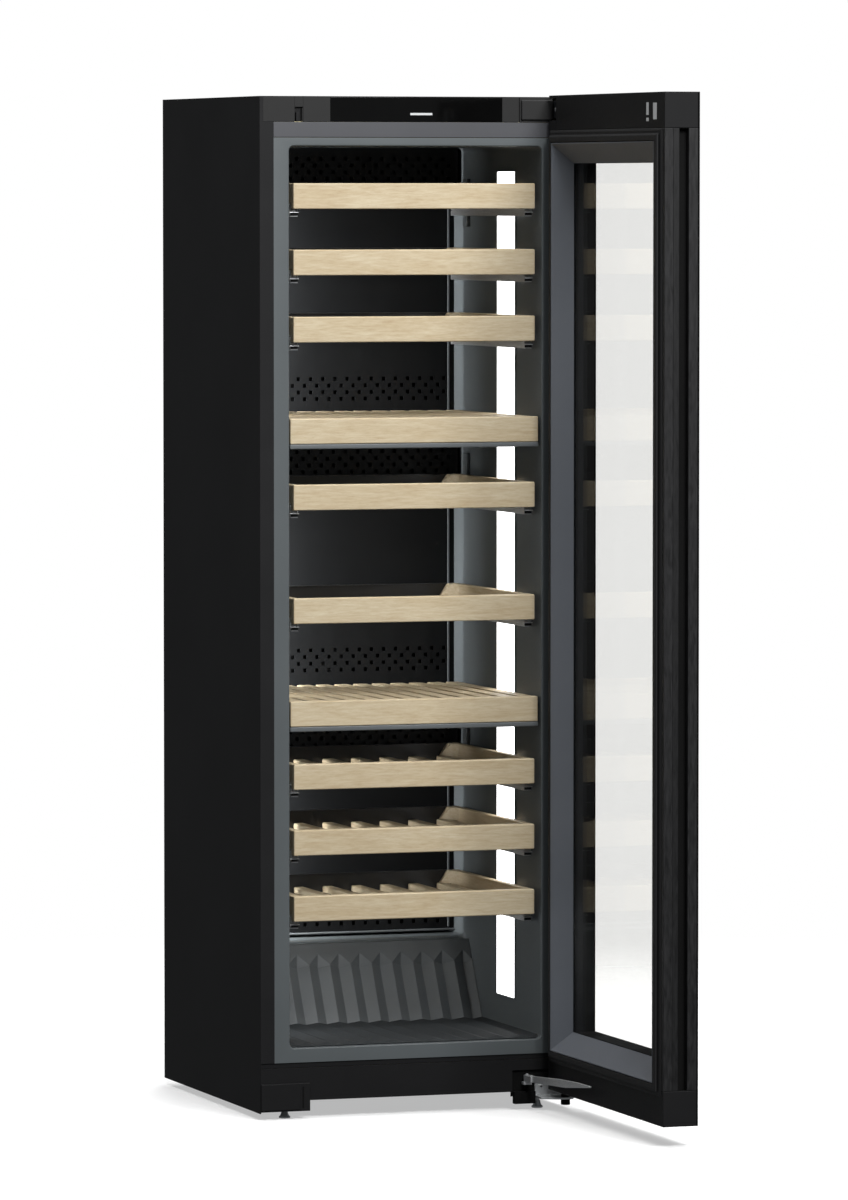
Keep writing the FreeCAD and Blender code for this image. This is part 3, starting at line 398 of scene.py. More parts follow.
# %% Grained foil
def foil(name, shades):
    made, tree, shader = blank(name)
    where = node(tree, "TexCoord").outputs["Object"]
    drawn = node(tree, "Mapping", Vector=where, Scale=(1, 1, 0.14)).outputs["Vector"]
    strokes = node(tree, "TexNoise", Vector=drawn, Scale=210.0, Detail=5.0, Roughness=0.65,
                   Distortion=0.8).outputs[0]
    speck = node(tree, "TexNoise", Vector=where, Scale=900.0, Detail=2.0).outputs[0]
    colour = ramp(tree, strokes, [(0.36, tone(shades[0])), (0.64, tone(shades[1]))])
    colour = blend(tree, "MULTIPLY", 0.35, colour, ramp(tree, speck, [(0.3, (0.55,) * 3), (0.7, (1,) * 3)]))
    tree.links.new(colour, shader.inputs["Base Color"])
    tree.links.new(spread(tree, strokes, 0.45, 0.65), shader.inputs["Roughness"])
    bump = node(tree, "Bump", Strength=0.35, Distance=0.0003, Height=strokes)
    tree.links.new(bump.outputs["Normal"], shader.inputs["Normal"])
    shader.inputs["Specular IOR Level"].default_value = 0.25
    return made


EDGE_FOIL = foil("grained edge foil", ("101011", "242425"))
EDGE_FOIL_DARK = foil("darker grained edge foil", ("0d0d0e", "1a1a1b"))

# %% [markdown]
# ## Beech
# Beech is pale and even, with a soft figure, fine streaks along the board and small dark flecks.
# Each board carries a random vector, so that the grain starts somewhere else and the tone differs a
# little.


# %% Wood
def beech(name, stretch, shades=("bcaa8a", "cec2a7")):
    made, tree, shader = blank(name)
    where = node(tree, "TexCoord").outputs["Object"]
    board = node(tree, "Attribute", {"attribute_name": "board"}).outputs["Vector"]
    moved = node(tree, "VectorMath", {"operation": "MULTIPLY_ADD"},
                 _0=board, _1=(9, 9, 9), _2=where).outputs[0]
    drawn = node(tree, "Mapping", Vector=moved, Scale=stretch).outputs["Vector"]
    figure = node(tree, "TexNoise", Vector=drawn, Scale=1.1, Detail=6.0, Roughness=0.7,
                  Distortion=0.9).outputs[0]
    streaks = node(tree, "TexNoise", Vector=drawn, Scale=7.0, Detail=6.0, Roughness=0.75).outputs[0]
    dashes = node(tree, "TexVoronoi", Vector=drawn, Scale=12.0, Randomness=1.0).outputs["Distance"]
    colour = ramp(tree, figure, [(0.3, tone(shades[0])), (0.7, tone(shades[1]))])
    streak_shade = ramp(tree, streaks, [(0.35, tone("bd9f7c")), (0.6, (1, 1, 1))])
    fleck_shade = ramp(tree, dashes, [(0.03, tone("9c7d50")), (0.1, (1, 1, 1))])
    colour = blend(tree, "MULTIPLY", 0.32, colour, streak_shade)
    colour = blend(tree, "MULTIPLY", 0.5, colour, fleck_shade)
    lightness = node(tree, "SeparateXYZ", Vector=board).outputs[0]
    shade = node(tree, "MapRange", Value=lightness, To_Min=0.93, To_Max=1.06).outputs["Result"]
    tinted = node(tree, "HueSaturation", Value=shade, Color=colour)
    tree.links.new(tinted.outputs["Color"], shader.inputs["Base Color"])
    tree.links.new(spread(tree, streaks, 0.62, 0.48), shader.inputs["Roughness"])
    bump = node(tree, "Bump", Strength=0.12, Distance=0.0003, Height=streaks)
    tree.links.new(bump.outputs["Normal"], shader.inputs["Normal"])
    shader.inputs["Specular IOR Level"].default_value = 0.3
    return made


BEECH_ACROSS = beech("beech, grain across the cooler", (4, 36, 36))
BEECH_DEEP = beech("beech, grain front to back", (36, 4, 36))

# %% [markdown]
# ## Glass and light
# A pane lets the room through and mirrors a little, more at a glancing angle. A Fresnel node would
# mirror fully where a ray leaves the pane, so the facing angle raised to a power is used instead.
# The light covers glow behind fine upright ribs.


# %% Glass
def pane(name, through, least, most):
    made, tree, shader = blank(name)
    facing = node(tree, "LayerWeight", Blend=0.5).outputs["Facing"]
    steep = node(tree, "Math", {"operation": "POWER"}, _0=facing, _1=4.0).outputs[0]
    share = node(tree, "MapRange", Value=steep, To_Min=least, To_Max=most).outputs["Result"]
    where = node(tree, "TexCoord").outputs["Object"]
    film = node(tree, "TexNoise", Vector=where, Scale=3.0, Detail=2.0).outputs[0]
    clear = node(tree, "BsdfTransparent")
    clear.inputs["Color"].default_value = (*through, 1)
    mirror = node(tree, "BsdfGlossy")
    mirror.inputs["Color"].default_value = (0.95, 0.97, 0.97, 1)
    tree.links.new(spread(tree, film, 0.015, 0.03), mirror.inputs["Roughness"])
    mixed = node(tree, "MixShader", _0=share, _1=clear.outputs[0], _2=mirror.outputs[0])
    tree.links.new(mixed.outputs[0], tree.nodes["Material Output"].inputs["Surface"])
    tree.nodes.remove(shader)
    return made


CLEAR_GLASS = pane("clear glass", (0.985, 0.985, 0.98), 0.015, 0.2)


def glow(name, strength):
    made, tree, shader = blank(name)
    where = node(tree, "TexCoord").outputs["Object"]
    ribs = node(tree, "TexWave", {"bands_direction": "Y"}, Vector=where, Scale=160.0).outputs["Fac"]
    light = ramp(tree, ribs, [(0.0, (0.93, 0.94, 0.95)), (1.0, (1, 1, 1))])
    tree.links.new(light, shader.inputs["Emission Color"])
    shader.inputs["Emission Strength"].default_value = strength
    shader.inputs["Base Color"].default_value = (0.9, 0.9, 0.9, 1)
    shader.inputs["Roughness"].default_value = 0.5
    return made


LIGHT_COVER = glow("light cover", 3.2)

# %% [markdown]
# ## The case
# The cabinet is one folded sheet: two sides, a top, and a flange turned in at the front of each
# side. A plain box would lose the folds, so each side is an L section pushed up along z, in three
# runs: without a flange beside the plinth, with a wide one beside the opening, and with a narrow
# one beside the fascia.

# %% Cabinet shell
SKIN = 1.5
FLANGE = 27.0
FASCIA_GAP = 7.0
FOLD_ROUND = 1.4
plinth_top = spans("liner")[2][0]
fascia_low = spans("fascia")[2][0]
case_top = CASE_Z[1] - SKIN

bm = bmesh.new()
for sign, outer in ((1, CASE_X[0]), (-1, CASE_X[1])):
    runs = ((CASE_Z[0], plinth_top, SKIN), (plinth_top, fascia_low, FLANGE),
            (fascia_low, case_top, FASCIA_GAP))
    for low, high, wide in runs:
        section = [(outer, FRONT), (outer + sign * wide, FRONT), (outer + sign * wide, FRONT + SKIN),
                   (outer + sign * SKIN, FRONT + SKIN), (outer + sign * SKIN, CASE_Y[1]), (outer, CASE_Y[1])]
        if wide == SKIN:
            section = [section[0], section[1], (outer + sign * SKIN, CASE_Y[1]), section[5]]
        made = prism(bm, section, (low, high))
        corner = [e for e in edges_of([v for f in made for v in f.verts])
                  if all(abs(v.co.x - outer) < SAME and abs(v.co.y - FRONT) < SAME for v in e.verts)]
        soften(bm, corner, FOLD_ROUND, 3)
block(bm, CASE_X, CASE_Y, (case_top, CASE_Z[1]), ease=0.7)
finish("cabinet_shell", bm, "cabinet", [COAT_BLACK], ["outer_case"])

# %% [markdown]
# ## The back
# The back sheet closes the foam and the machine compartment. Its two fields of slots carry pressed
# hoods that shed dust, shallow pressed frames stiffen it, screws run round its rim, and the mains
# socket sits in a pressed box.

# %% Back sheet
panel_x, panel_y, panel_z = spans("rear_panel")
back = panel_y[1]
SET_IN = 1.2
skin_y = (back - SET_IN - SKIN, back - SET_IN)
SLOT_X = (-130.0, 60.0)
SLOT_HALF = 75.0
SLOT_TALL = 6.0
SLOT_LOW, SLOT_PITCH, SLOT_ROWS = 56.0, 14.0, 9
slot_lows = [SLOT_LOW + SLOT_PITCH * k for k in range(SLOT_ROWS)]
slot_cuts_z = [z for low in slot_lows for z in (low, low + SLOT_TALL)]
slot_cuts_x = [MIDDLE + x + s for x in SLOT_X for s in (-SLOT_HALF, SLOT_HALF)]
SCREW_X_IN, SCREW_Z_IN = 12, 14
SCREW_LEVELS = (260, 640, 1020, 1400)
PRESSINGS = ((330, 600), (700, 980), (1080, 1360))
PRESSING_HALF = 180
inlet_x = (MIDDLE + 207.0, MIDDLE + 247.0)
inlet_z = (64.0, 94.0)
INLET_DEEP = 12


def in_slot(spot):
    across = any(abs(spot.x - MIDDLE - x) < SLOT_HALF for x in SLOT_X)
    return across and any(low < spot.z < low + SLOT_TALL for low in slot_lows)


bm = bmesh.new()
sheet(bm, AXES["y"], panel_x, panel_z, skin_y, slot_cuts_x, slot_cuts_z, in_slot, rim=0.5)
for x in SLOT_X:
    for low in slot_lows:
        hood = [(back - 0.2, low + 7.5), (back - 4.5, low + 7.0), (back - 1.6, low - 1.0),
                (back - 1.5, low + 5.0)]
        prism(bm, [(y - SET_IN, z) for y, z in hood], (MIDDLE + x - SLOT_HALF, MIDDLE + x + SLOT_HALF), "x")
for x in (panel_x[0] + SCREW_X_IN, MIDDLE, panel_x[1] - SCREW_X_IN):
    for z in (panel_z[0] + SCREW_Z_IN, *SCREW_LEVELS, panel_z[1] - SCREW_Z_IN):
        rod(bm, (x, z), 5.5, (back - 0.6, back - 0.05), "y", ease=0.2, paint=1)
        # The dark hexagon on each screw head is painted shade for its socket.
        rod(bm, (x, z), 3.0, (back - 0.1, back), "y", sides=6, ease=0, paint=2)
pressed = [(0, back - 1.4), (1.5, back - 0.2), (3, back), (9, back), (10.5, back - 0.2), (12, back - 1.4)]
for span in PRESSINGS:
    ring(bm, AXES["y"], (MIDDLE - PRESSING_HALF, MIDDLE + PRESSING_HALF), span, pressed)
# The socket's walls and back are near-black: black plastic, with painted shade for its depth.
socket = [(0, back), (-2, back), (-3, back - INLET_DEEP), (0, back - INLET_DEEP)]
ring(bm, AXES["y"], inlet_x, inlet_z, socket, paint=2)
block(bm, inlet_x, (panel_y[0], panel_y[0] + 4), inlet_z, ease=0.4, paint=2)
for dx, dz in ((-8, 3), (0, -4), (8, 3)):
    rod(bm, (sum(inlet_x) / 2 + dx, sum(inlet_z) / 2 + dz), 2.0, (panel_y[0] + 4, back - 3), "y",
        sides=16, ease=0.6, paint=1)
finish("back_sheet", bm, "cabinet", [COAT_BLACK, SCREW, BLACK_AND_RECESS_SHADE], ["rear_panel"])

# %% [markdown]
# ## The base tray
# A zinc-plated tray carries the cabinet. Its floor is raised behind the plinth and steps down
# farther back, bosses take the screw feet, and two pairs of fork plates hold the rollers' axles.

# %% Base tray
ax, ay, az = spans("chassis")
tray_low = panel_z[0]
STEP_Y = (ay[0] + 90, ay[0] + 108)
RAISED = 11.0
bm = bmesh.new()
side = [(ay[0], tray_low + RAISED), (STEP_Y[0], tray_low + RAISED), (STEP_Y[1], tray_low), (ay[1], tray_low),
        (ay[1], az[1]), (ay[0], az[1])]
for x in ((ax[0], ax[0] + SKIN), (ax[1] - SKIN, ax[1])):
    prism(bm, side, x, "x")
under = side[:4] + [(y, z + SKIN) for y, z in side[3::-1]]
prism(bm, under, (ax[0] + SKIN, ax[1] - SKIN), "x")
block(bm, ax, (ay[0], ay[0] + SKIN), (tray_low + RAISED, az[1]), ease=0.4)
block(bm, ax, (ay[1] - SKIN, ay[1]), (tray_low, az[1]), ease=0.4)
for edge in ("left", "right"):
    foot_x, foot_y, foot_z = spans(f"front_foot_{edge}")
    rod(bm, (sum(foot_x) / 2, sum(foot_y) / 2), 9.0, (tray_low + 3, tray_low + 18))
    roll_x, roll_y, roll_z = spans(f"rear_roller_{edge}")
    for x in ((roll_x[0] - 5, roll_x[0] - 2), (roll_x[1] + 2, roll_x[1] + 5)):
        block(bm, x, (sum(roll_y) / 2 - 9, sum(roll_y) / 2 + 9), (az[0], tray_low), ease=1.0)
    rod(bm, (sum(roll_y) / 2, sum(roll_z) / 2), 3.4, (roll_x[0] - 6, roll_x[1] + 6), "x", sides=20)
finish("base_tray", bm, "cabinet", [ZINC], ["chassis"])

# %% [markdown]
# ## The liner
# The liner is vacuum formed from one sheet, so all its inner corners are round. The room's shape is
# a solid first, with its corners rounded, then its front is opened, a collar is drawn out round the
# opening, and Solidify gives the sheet its wall on the hidden side.

# %% Liner
liner_x, liner_y, liner_z = spans("liner")
ROUND = 9.0
MOUTH_ROUND = 2.5
LINER_WALL = 2
FLOOR_SHORT, LEDGE_DEEP, DUCT_RISE = 171, 89, 5
deep = liner_y[1] - LINER_WALL
floor_end = deep - FLOOR_SHORT
ledge_start = deep - LEDGE_DEEP
ledge_z = spans("duct_panel")[2][0] - DUCT_RISE

bm = bmesh.new()
room = [(FRONT, OPEN_Z[0]), (floor_end, OPEN_Z[0]), (ledge_start, ledge_z), (deep, ledge_z),
        (deep, OPEN_Z[1]), (FRONT, OPEN_Z[1])]
prism(bm, room, OPEN_X, "x")
inner = [e for e in bm.edges if not all(abs(v.co.y - FRONT) < SAME for v in e.verts)]
soften(bm, inner, ROUND, 4)
mouth = [f for f in bm.faces if all(abs(v.co.y - FRONT) < SAME for v in f.verts)]
bmesh.ops.delete(bm, geom=mouth, context="FACES")
rim = [e for e in bm.edges if e.is_boundary]
for vert in verts_in(bmesh.ops.extrude_edge_only(bm, edges=rim)["geom"]):
    vert.co.x = liner_x[0] if vert.co.x < MIDDLE else liner_x[1]
    vert.co.z = liner_z[0] if vert.co.z < sum(liner_z) / 2 else liner_z[1]
bmesh.ops.remove_doubles(bm, verts=bm.verts[:], dist=WELD)
rim = [e for e in bm.edges if not e.is_boundary and all(abs(v.co.y - FRONT) < SAME for v in e.verts)
       and all(v.co.x > liner_x[0] + 1 and v.co.x < liner_x[1] - 1 for v in e.verts)
       and all(v.co.z > liner_z[0] + 1 and v.co.z < liner_z[1] - 1 for v in e.verts)]
soften(bm, rim, MOUTH_ROUND, 3)
bmesh.ops.recalc_face_normals(bm, faces=bm.faces[:])
wall = max(bm.faces, key=lambda f: f.calc_area())
toward_room = Vector((MIDDLE, 200, 900)) - wall.calc_center_median()
if wall.normal.dot(toward_room) < 0:
    bmesh.ops.reverse_faces(bm, faces=bm.faces[:])


def formed_wall(piece):
    wall_made = piece.modifiers.new("Sheet", "SOLIDIFY")
    wall_made.thickness = LINER_WALL * MM
    wall_made.offset = -1


finish("inner_liner", bm, "cabinet", [LINER_GREY], ["liner"], extra=formed_wall)

# %% [markdown]
# ## The head: fascia, gloss centre and strip
# The control housing is a moulding with a gloss insert and a slot for the lock's latch. A plain
# pale bar stands in the middle of the insert. Under it a painted metal strip meets the liner with a
# fine shadow gap.

# %% Fascia
fx, fy, fz = spans("fascia")
gx, gy, gz = spans("fascia_glass")
slot_x = (CASE_X[0] + 67, CASE_X[0] + 83)
slot_top = case_top - 18
slot_low = fz[0] + 0.5
SLOT_DEEP = 6.0
bm = bmesh.new()
block(bm, (fx[0], slot_x[0]), fy, fz, ease=0.7)
block(bm, (slot_x[0], slot_x[1]), (fy[0] + SLOT_DEEP, fy[1]), fz, ease=0, paint=1)
block(bm, (slot_x[0], slot_x[1]), (fy[0], fy[0] + SLOT_DEEP), (slot_top, fz[1]), ease=0.4)
block(bm, (slot_x[1], gx[0]), fy, fz, ease=0.7)
block(bm, gx, (gy[1], fy[1]), fz, ease=0)
block(bm, (gx[1], fx[1]), fy, fz, ease=0.7)
block(bm, (slot_x[0] + 3, slot_x[0] + 9), (fy[0] + 1, fy[0] + SLOT_DEEP), (slot_low, slot_top - 9),
      ease=0.8, paint=1)
block(bm, (slot_x[1] - 2.2, slot_x[1] - 0.6), (fy[0] + 0.3, fy[0] + SLOT_DEEP), (fz[0] + 0.2, slot_top - 2),
      ease=0.3)
finish("fascia_housing", bm, "cabinet", [DARK_PLASTIC, BLACK_PLASTIC], ["fascia"])

bm = bmesh.new()
block(bm, gx, (gy[0] + 0.15, gy[1]), (gz[0] + 0.15, gz[1] - 0.1), ease=0.5, steps=3)
bar_x = sum(gx) / 2 + 9
BAR_HALF = 21
block(bm, (bar_x - BAR_HALF, bar_x + BAR_HALF), (gy[0] + 0.05, gy[0] + 0.3), (gz[0] + 12.2, gz[0] + 16.2),
      ease=0.1, paint=1)
finish("fascia_gloss", bm, "cabinet", [GLOSS_BLACK, LABEL], ["fascia_glass"])

sx, sy, sz = spans("upper_strip")
bm = bmesh.new()
block(bm, sx, sy, (sz[0] + 0.9, sz[1] - 0.6), ease=0.5)
finish("head_strip", bm, "cabinet", [STRIP_GREY], ["upper_strip"])

# %% [markdown]
# ## Plinth and foot cover
# The plinth is a moulded panel with a fine ledge along its top. The foot cover clips over the left
# corner; its raised face has softened edges, and its latch window at the right is a near-black
# strip of painted shade.

# %% Plinth
px, py, pz = spans("plinth")
hinge_x, hinge_y, hinge_z = spans("lower_hinge")
notch_x = hinge_x[0] - 12
notch_z = hinge_z[1] + 6
bm = bmesh.new()
front = [(px[0], pz[0]), (notch_x, pz[0]), (notch_x, notch_z), (px[1], notch_z), (px[1], pz[1] - 10),
         (px[0], pz[1] - 10)]
prism(bm, front, py, "y", ease=0.6, ends=True)
block(bm, px, (py[0] + 0.4, py[1]), (pz[1] - 9.6, pz[1]), ease=0.4)
# A near-black sheet behind the notch is painted shade.
block(bm, (notch_x - 2, px[1]), (py[1] + 2, py[1] + 2.8), (pz[0] - 9, notch_z + 2), ease=0, paint=1)
finish("plinth_panel", bm, "cabinet", [BLACK_PLASTIC, BLACK_AND_RECESS_SHADE], ["plinth"])

cx, cy, cz = spans("foot_cover")
bm = bmesh.new()
block(bm, cx, (cy[0] + 2, cy[0] + 6), cz, ease=1.2, steps=3)
block(bm, (cx[0] + 0.2, cx[0] + 75), (cy[0], cy[0] + 2.5), (cz[0] + 3, cz[1]), ease=1.0, steps=3)
block(bm, (cx[0] + SKIN, cx[1]), (cy[0] + 6, cy[1]), (cz[0], cz[1]), ease=0.4)
# The latch window is a near-black strip of painted shade, not an opening.
block(bm, (cx[0] + 79, cx[0] + 82), (cy[0] + 1.4, cy[0] + 2.4), (cz[0] + 6, cz[1] - 6), ease=0.4, paint=1)
finish("foot_cover_clip", bm, "cabinet", [BLACK_PLASTIC, BLACK_AND_RECESS_SHADE], ["foot_cover"])

# %% [markdown]
# ## Duct panel and fan covers
# Cold air comes out through four staggered rows of square holes. A chequerboard of cells gives the
# stagger: every second cell is inset and opened, so the holes are real and the sheet still has its
# thickness.

# %% Duct panel
HOLE_PITCH = 12.0
ROW_PITCH = 12.5
HOLE_RIM = 2.5
HOLE_ROWS = 4
BAND_MARGIN = 4
duct_x, duct_y, duct_z = spans("duct_panel")
wall_y = (duct_y[1] - 3, duct_y[1] - 1.4)
board_x, board_y, board_z = spans("divider_boards")
plate_x, plate_y, plate_z = spans("divider_plates")
PLATE = 9.0
BOARD = 46.4
FAN_DROP = 52
tops = [board_z[1], plate_z[0] + PLATE + BOARD]
ceilings = [OPEN_Z[1], tops[0] - BOARD - PLATE, tops[1] - BOARD - PLATE]


def hole_grid(x, start_z):
    """Cuts for a band of holes, and the test that picks every second cell."""
    count = int((x[1] - x[0]) / HOLE_PITCH) - 1
    first = sum(x) / 2 - count * HOLE_PITCH / 2
    cuts_x = [first + k * HOLE_PITCH for k in range(count + 1)]
    cuts_z = [start_z + k * ROW_PITCH for k in range(HOLE_ROWS + 1)]

    def picked(spot):
        col = (spot.x - first) / HOLE_PITCH
        row = (spot.z - start_z) / ROW_PITCH
        return 0 < col < count and 0 < row < HOLE_ROWS and (int(col) + int(row)) % 2 == 0
    return cuts_x, cuts_z, picked


bm = bmesh.new()
bands = [tops[0] + 15.0, tops[1] + 17.5, duct_z[0] + 11.8]
edges_z = [z for band in sorted(bands)
           for z in (band - BAND_MARGIN, band + HOLE_ROWS * ROW_PITCH + BAND_MARGIN)]
levels = [duct_z[0] + 3, *edges_z, duct_z[1]]
for k, (low, high) in enumerate(zip(levels, levels[1:])):
    if k % 2:
        cuts_x, cuts_z, picked = hole_grid((duct_x[0] + 8, duct_x[1] - 8), low + BAND_MARGIN)
        sheet(bm, AXES["y"], duct_x, (low, high), wall_y, cuts_x, cuts_z, picked, HOLE_RIM)
    else:
        block(bm, duct_x, wall_y, (low, high), ease=0)
block(bm, duct_x, (wall_y[0] - 10, wall_y[1]), (duct_z[0], duct_z[0] + 3), ease=1.0, steps=3, paint=1)
# A near-black sheet behind the holes is painted shade for the dark space behind them.
block(bm, duct_x, (wall_y[1] + 9, wall_y[1] + 10), duct_z, ease=0, paint=2)
for band in bands[:2]:
    near, far = wall_y[1] + 4, wall_y[1] + 7
    lathe(bm, [(15, near), (22, near), (22, far), (15, far), (15, near)], (MIDDLE, band + 2 * ROW_PITCH), "y")
for zone in ceilings:
    rod(bm, (MIDDLE, zone - FAN_DROP), 3.0, (duct_y[0], wall_y[0]), "y", sides=20)
block(bm, (duct_x[1] - 13, duct_x[1] - 9.5), (wall_y[0] - 3, wall_y[0]), (duct_z[0] + 6, duct_z[1] - 4),
      ease=0.8, paint=1)
finish("duct_panel_sheet", bm, "cabinet", [DUCT_BLACK, DIVIDER_GREY, BLACK_AND_RECESS_SHADE],
       ["duct_panel"])

# %% Fan covers
cover_x, cover_y, cover_z = spans("fan_covers")
COVER_TALL = 112.0
SLOPE = 22.0
COVER_WALL = 2
bm = bmesh.new()
for top in ceilings:
    low = top - COVER_TALL
    near, far = cover_y
    bend, knee, inside = low + SLOPE, near + SLOPE + 1, near + COVER_WALL
    cuts_x, cuts_z, picked = hole_grid((cover_x[0] + 4, cover_x[1] - 4), top - 65.0)
    sheet(bm, AXES["y"], cover_x, (bend, top), (near, inside), cuts_x, cuts_z, picked, HOLE_RIM)
    under = [(near, bend), (near + SLOPE, low), (far, low), (far, low + COVER_WALL), (knee, low + COVER_WALL),
             (inside, bend)]
    prism(bm, under, cover_x, "x")
    side = [(inside, top - COVER_WALL), (inside, bend), (knee, low + COVER_WALL), (far, low + COVER_WALL),
            (far, top - COVER_WALL)]
    for x in ((cover_x[0], cover_x[0] + COVER_WALL), (cover_x[1] - COVER_WALL, cover_x[1])):
        prism(bm, side, x, "x")
    block(bm, cover_x, (inside, far), (top - COVER_WALL, top), ease=0)
finish("fan_cover_shells", bm, "cabinet", [DUCT_BLACK], ["fan_covers"])

# %% [markdown]
# ## Bottle rest
# The rest is one formed sheet: V grooves run back over the floor and up the slope, and each groove
# ends in a point under a flat strip. A zigzag edge is pushed from station to station; at the last
# one the grooves fill up.

# %% Bottle rest
rx, ry, rz = spans("bottle_rest")
RIDGE_COUNT = 12
RIDGE_MARGIN = 16.6
PITCH = (OPEN_X[1] - OPEN_X[0] - 2 * RIDGE_MARGIN) / (RIDGE_COUNT - 1)
FLOOR_GROOVE = 5.0
GROOVE = 13.0
POINT, FLAT = 0.72, 0.86      # shares of the slope where the grooves end and where they are full
foot_y, head_y = floor_end - 12, ry[1] - 4
base_z = rz[0] + 2.2
lean = Vector((0, head_y - foot_y, rz[1] - base_z)).normalized()
off_slope = Vector((0, -lean.z, lean.y))
slope_long = (rz[1] - base_z) / lean.z - GROOVE * off_slope.z / lean.z
half_steps = RIDGE_COUNT * 2 + 1
row_x = [MIDDLE + (k - (half_steps - 1) / 2) * PITCH / 2 for k in range(half_steps)]
row_x = [max(rx[0], min(rx[1], x)) for x in row_x]


def on_slope(distance, height):
    return Vector((0, foot_y, base_z)) + lean * distance + off_slope * height


def sweep_rows(bm, rows):
    """Join rows of spots into a sheet by pushing one edge chain from row to row."""
    chain = [bm.verts.new(spot) for spot in rows[0]]
    edges = [bm.edges.new(pair) for pair in zip(chain, chain[1:])]
    laid = [chain]
    for row in rows[1:]:
        chain, edges = push_chain(bm, chain, edges, row)
        laid.append(chain)
    return laid


def zigzag(ridge, groove):
    return [Vector((x, 0, 0)) + (ridge if k % 2 == 0 else groove) for k, x in enumerate(row_x)]


bm = bmesh.new()
floor_high, floor_low = Vector((0, 0, base_z + FLOOR_GROOVE)), Vector((0, 0, base_z))
floor_rows = [zigzag(high + Vector((0, y, 0)), floor_low + Vector((0, y, 0)))
              for high, y in ((floor_low, ry[0]), (floor_high, ry[0] + 8), (floor_high, foot_y))]
sweep_rows(bm, floor_rows)
# The floor faces take the darker copy of the rest's plastic: painted shade on the floor of the rest.
for face in bm.faces:
    face.material_index = 1
foot_shift = GROOVE * off_slope.z / lean.z
foot_row = zigzag(on_slope(-foot_shift, GROOVE), on_slope(0, 0))
point_row = zigzag(on_slope(slope_long * POINT, GROOVE), on_slope(slope_long * POINT, 0))
flat_row = zigzag(on_slope(slope_long * FLAT, GROOVE), on_slope(slope_long * FLAT, GROOVE))
head_row = zigzag(on_slope(slope_long, GROOVE), on_slope(slope_long, GROOVE))
back_row = [spot + Vector((0, 14, -0.5)) for spot in head_row]
laid = sweep_rows(bm, [foot_row, point_row, flat_row, head_row, back_row])
for k in range(half_steps - 1):
    ridge, groove = (k, k + 1) if k % 2 == 0 else (k + 1, k)
    bmesh.ops.connect_vert_pair(bm, verts=[laid[1][ridge], laid[2][groove]])
bmesh.ops.recalc_face_normals(bm, faces=bm.faces[:])
wrong = [f for f in bm.faces if f.normal.z < 0 or (abs(f.normal.z) < 0.2 and f.normal.y > 0.3)]
bmesh.ops.reverse_faces(bm, faces=wrong)


def rest_wall(piece):
    formed_wall(piece)
    eased = piece.modifiers.new("Eased", "BEVEL")
    eased.width = 0.8 * MM
    eased.segments = 2
    eased.limit_method = "ANGLE"
    eased.angle_limit = radians(40)


finish("bottle_rest_sheet", bm, "cabinet", [REST_GREY, REST_FLOOR_SHADE], ["bottle_rest"],
       extra=rest_wall, crease=7)

# %% [markdown]
# ## Lights and sensors
# A light cover runs up each side wall behind a slim frame. The three sensor housings on the right
# wall are small mouldings; the air slit on each is a near-black strip of painted shade.

# %% Light strips
lx, ly, lz = spans("light_strips")
bm = bmesh.new()
for x, face in (((lx[0], lx[0] + 3), 1), ((lx[1] - 3, lx[1]), -1)):
    block(bm, x, (ly[0] + 3, ly[1] - 3), (lz[0] + 3, lz[1] - 3), ease=0.8, paint=0)
    for y in ((ly[0], ly[0] + 2.6), (ly[1] - 2.6, ly[1])):
        block(bm, x, y, lz, ease=0.5, paint=1)
    for z in ((lz[0], lz[0] + 2.6), (lz[1] - 2.6, lz[1])):
        block(bm, x, (ly[0] + 2.6, ly[1] - 2.6), z, ease=0.5, paint=1)
finish("light_covers", bm, "cabinet", [LIGHT_COVER, LINER_GREY], ["light_strips"])

# %% Sensor housings
tx, ty, tz = spans("sensor_housings")
SENSOR_DROPS = (58, 25, 29)
SENSOR_TALL = 90
bm = bmesh.new()
for top, drop in zip(ceilings, SENSOR_DROPS):
    high = top - drop
    block(bm, tx, ty, (high - SENSOR_TALL, high), ease=2.2, steps=4)
    block(bm, (tx[0] - 0.05, tx[0] + 1), (ty[0] + 5, ty[1] - 5), (high - 62, high - 22), ease=0.2, paint=1)
    # The air slit is a near-black strip of painted shade on the housing's face.
    block(bm, (tx[0] - 0.02, tx[0] + 1), (ty[0] + 2.5, ty[0] + 3.4), (high - 84, high - 6), ease=0.1, paint=2)
finish("sensor_housing_set", bm, "cabinet", [LINER_GREY, DIVIDER_GREY, BLACK_AND_RECESS_SHADE],
       ["sensor_housings"])

# %% [markdown]
# ## Wooden boards
# Each drawer is a front, two sides, eight slats and two corner blocks of beech. Every board has its
# edges rounded over. A board is a block with a random vector stored on its faces, which the wood
# finish reads. The seed is fixed, so each run looks the same.

# %% Board helper
dice = random.Random(21)


def board(bm, x, y, z, across, ease=2.2):
    """One plank; across says that its grain runs along x rather than front to back."""
    layer = bm.faces.layers.float_vector.get("board") or bm.faces.layers.float_vector.new("board")
    faces = block(bm, x, y, z, ease=ease, steps=3, paint=0 if across else 1)
    mark = Vector((dice.random(), dice.random(), dice.random()))
    for face in faces:
        face[layer] = mark


CORNER_LONG, CORNER_WIDE, CORNER_SLOPE = 44, 25, 15


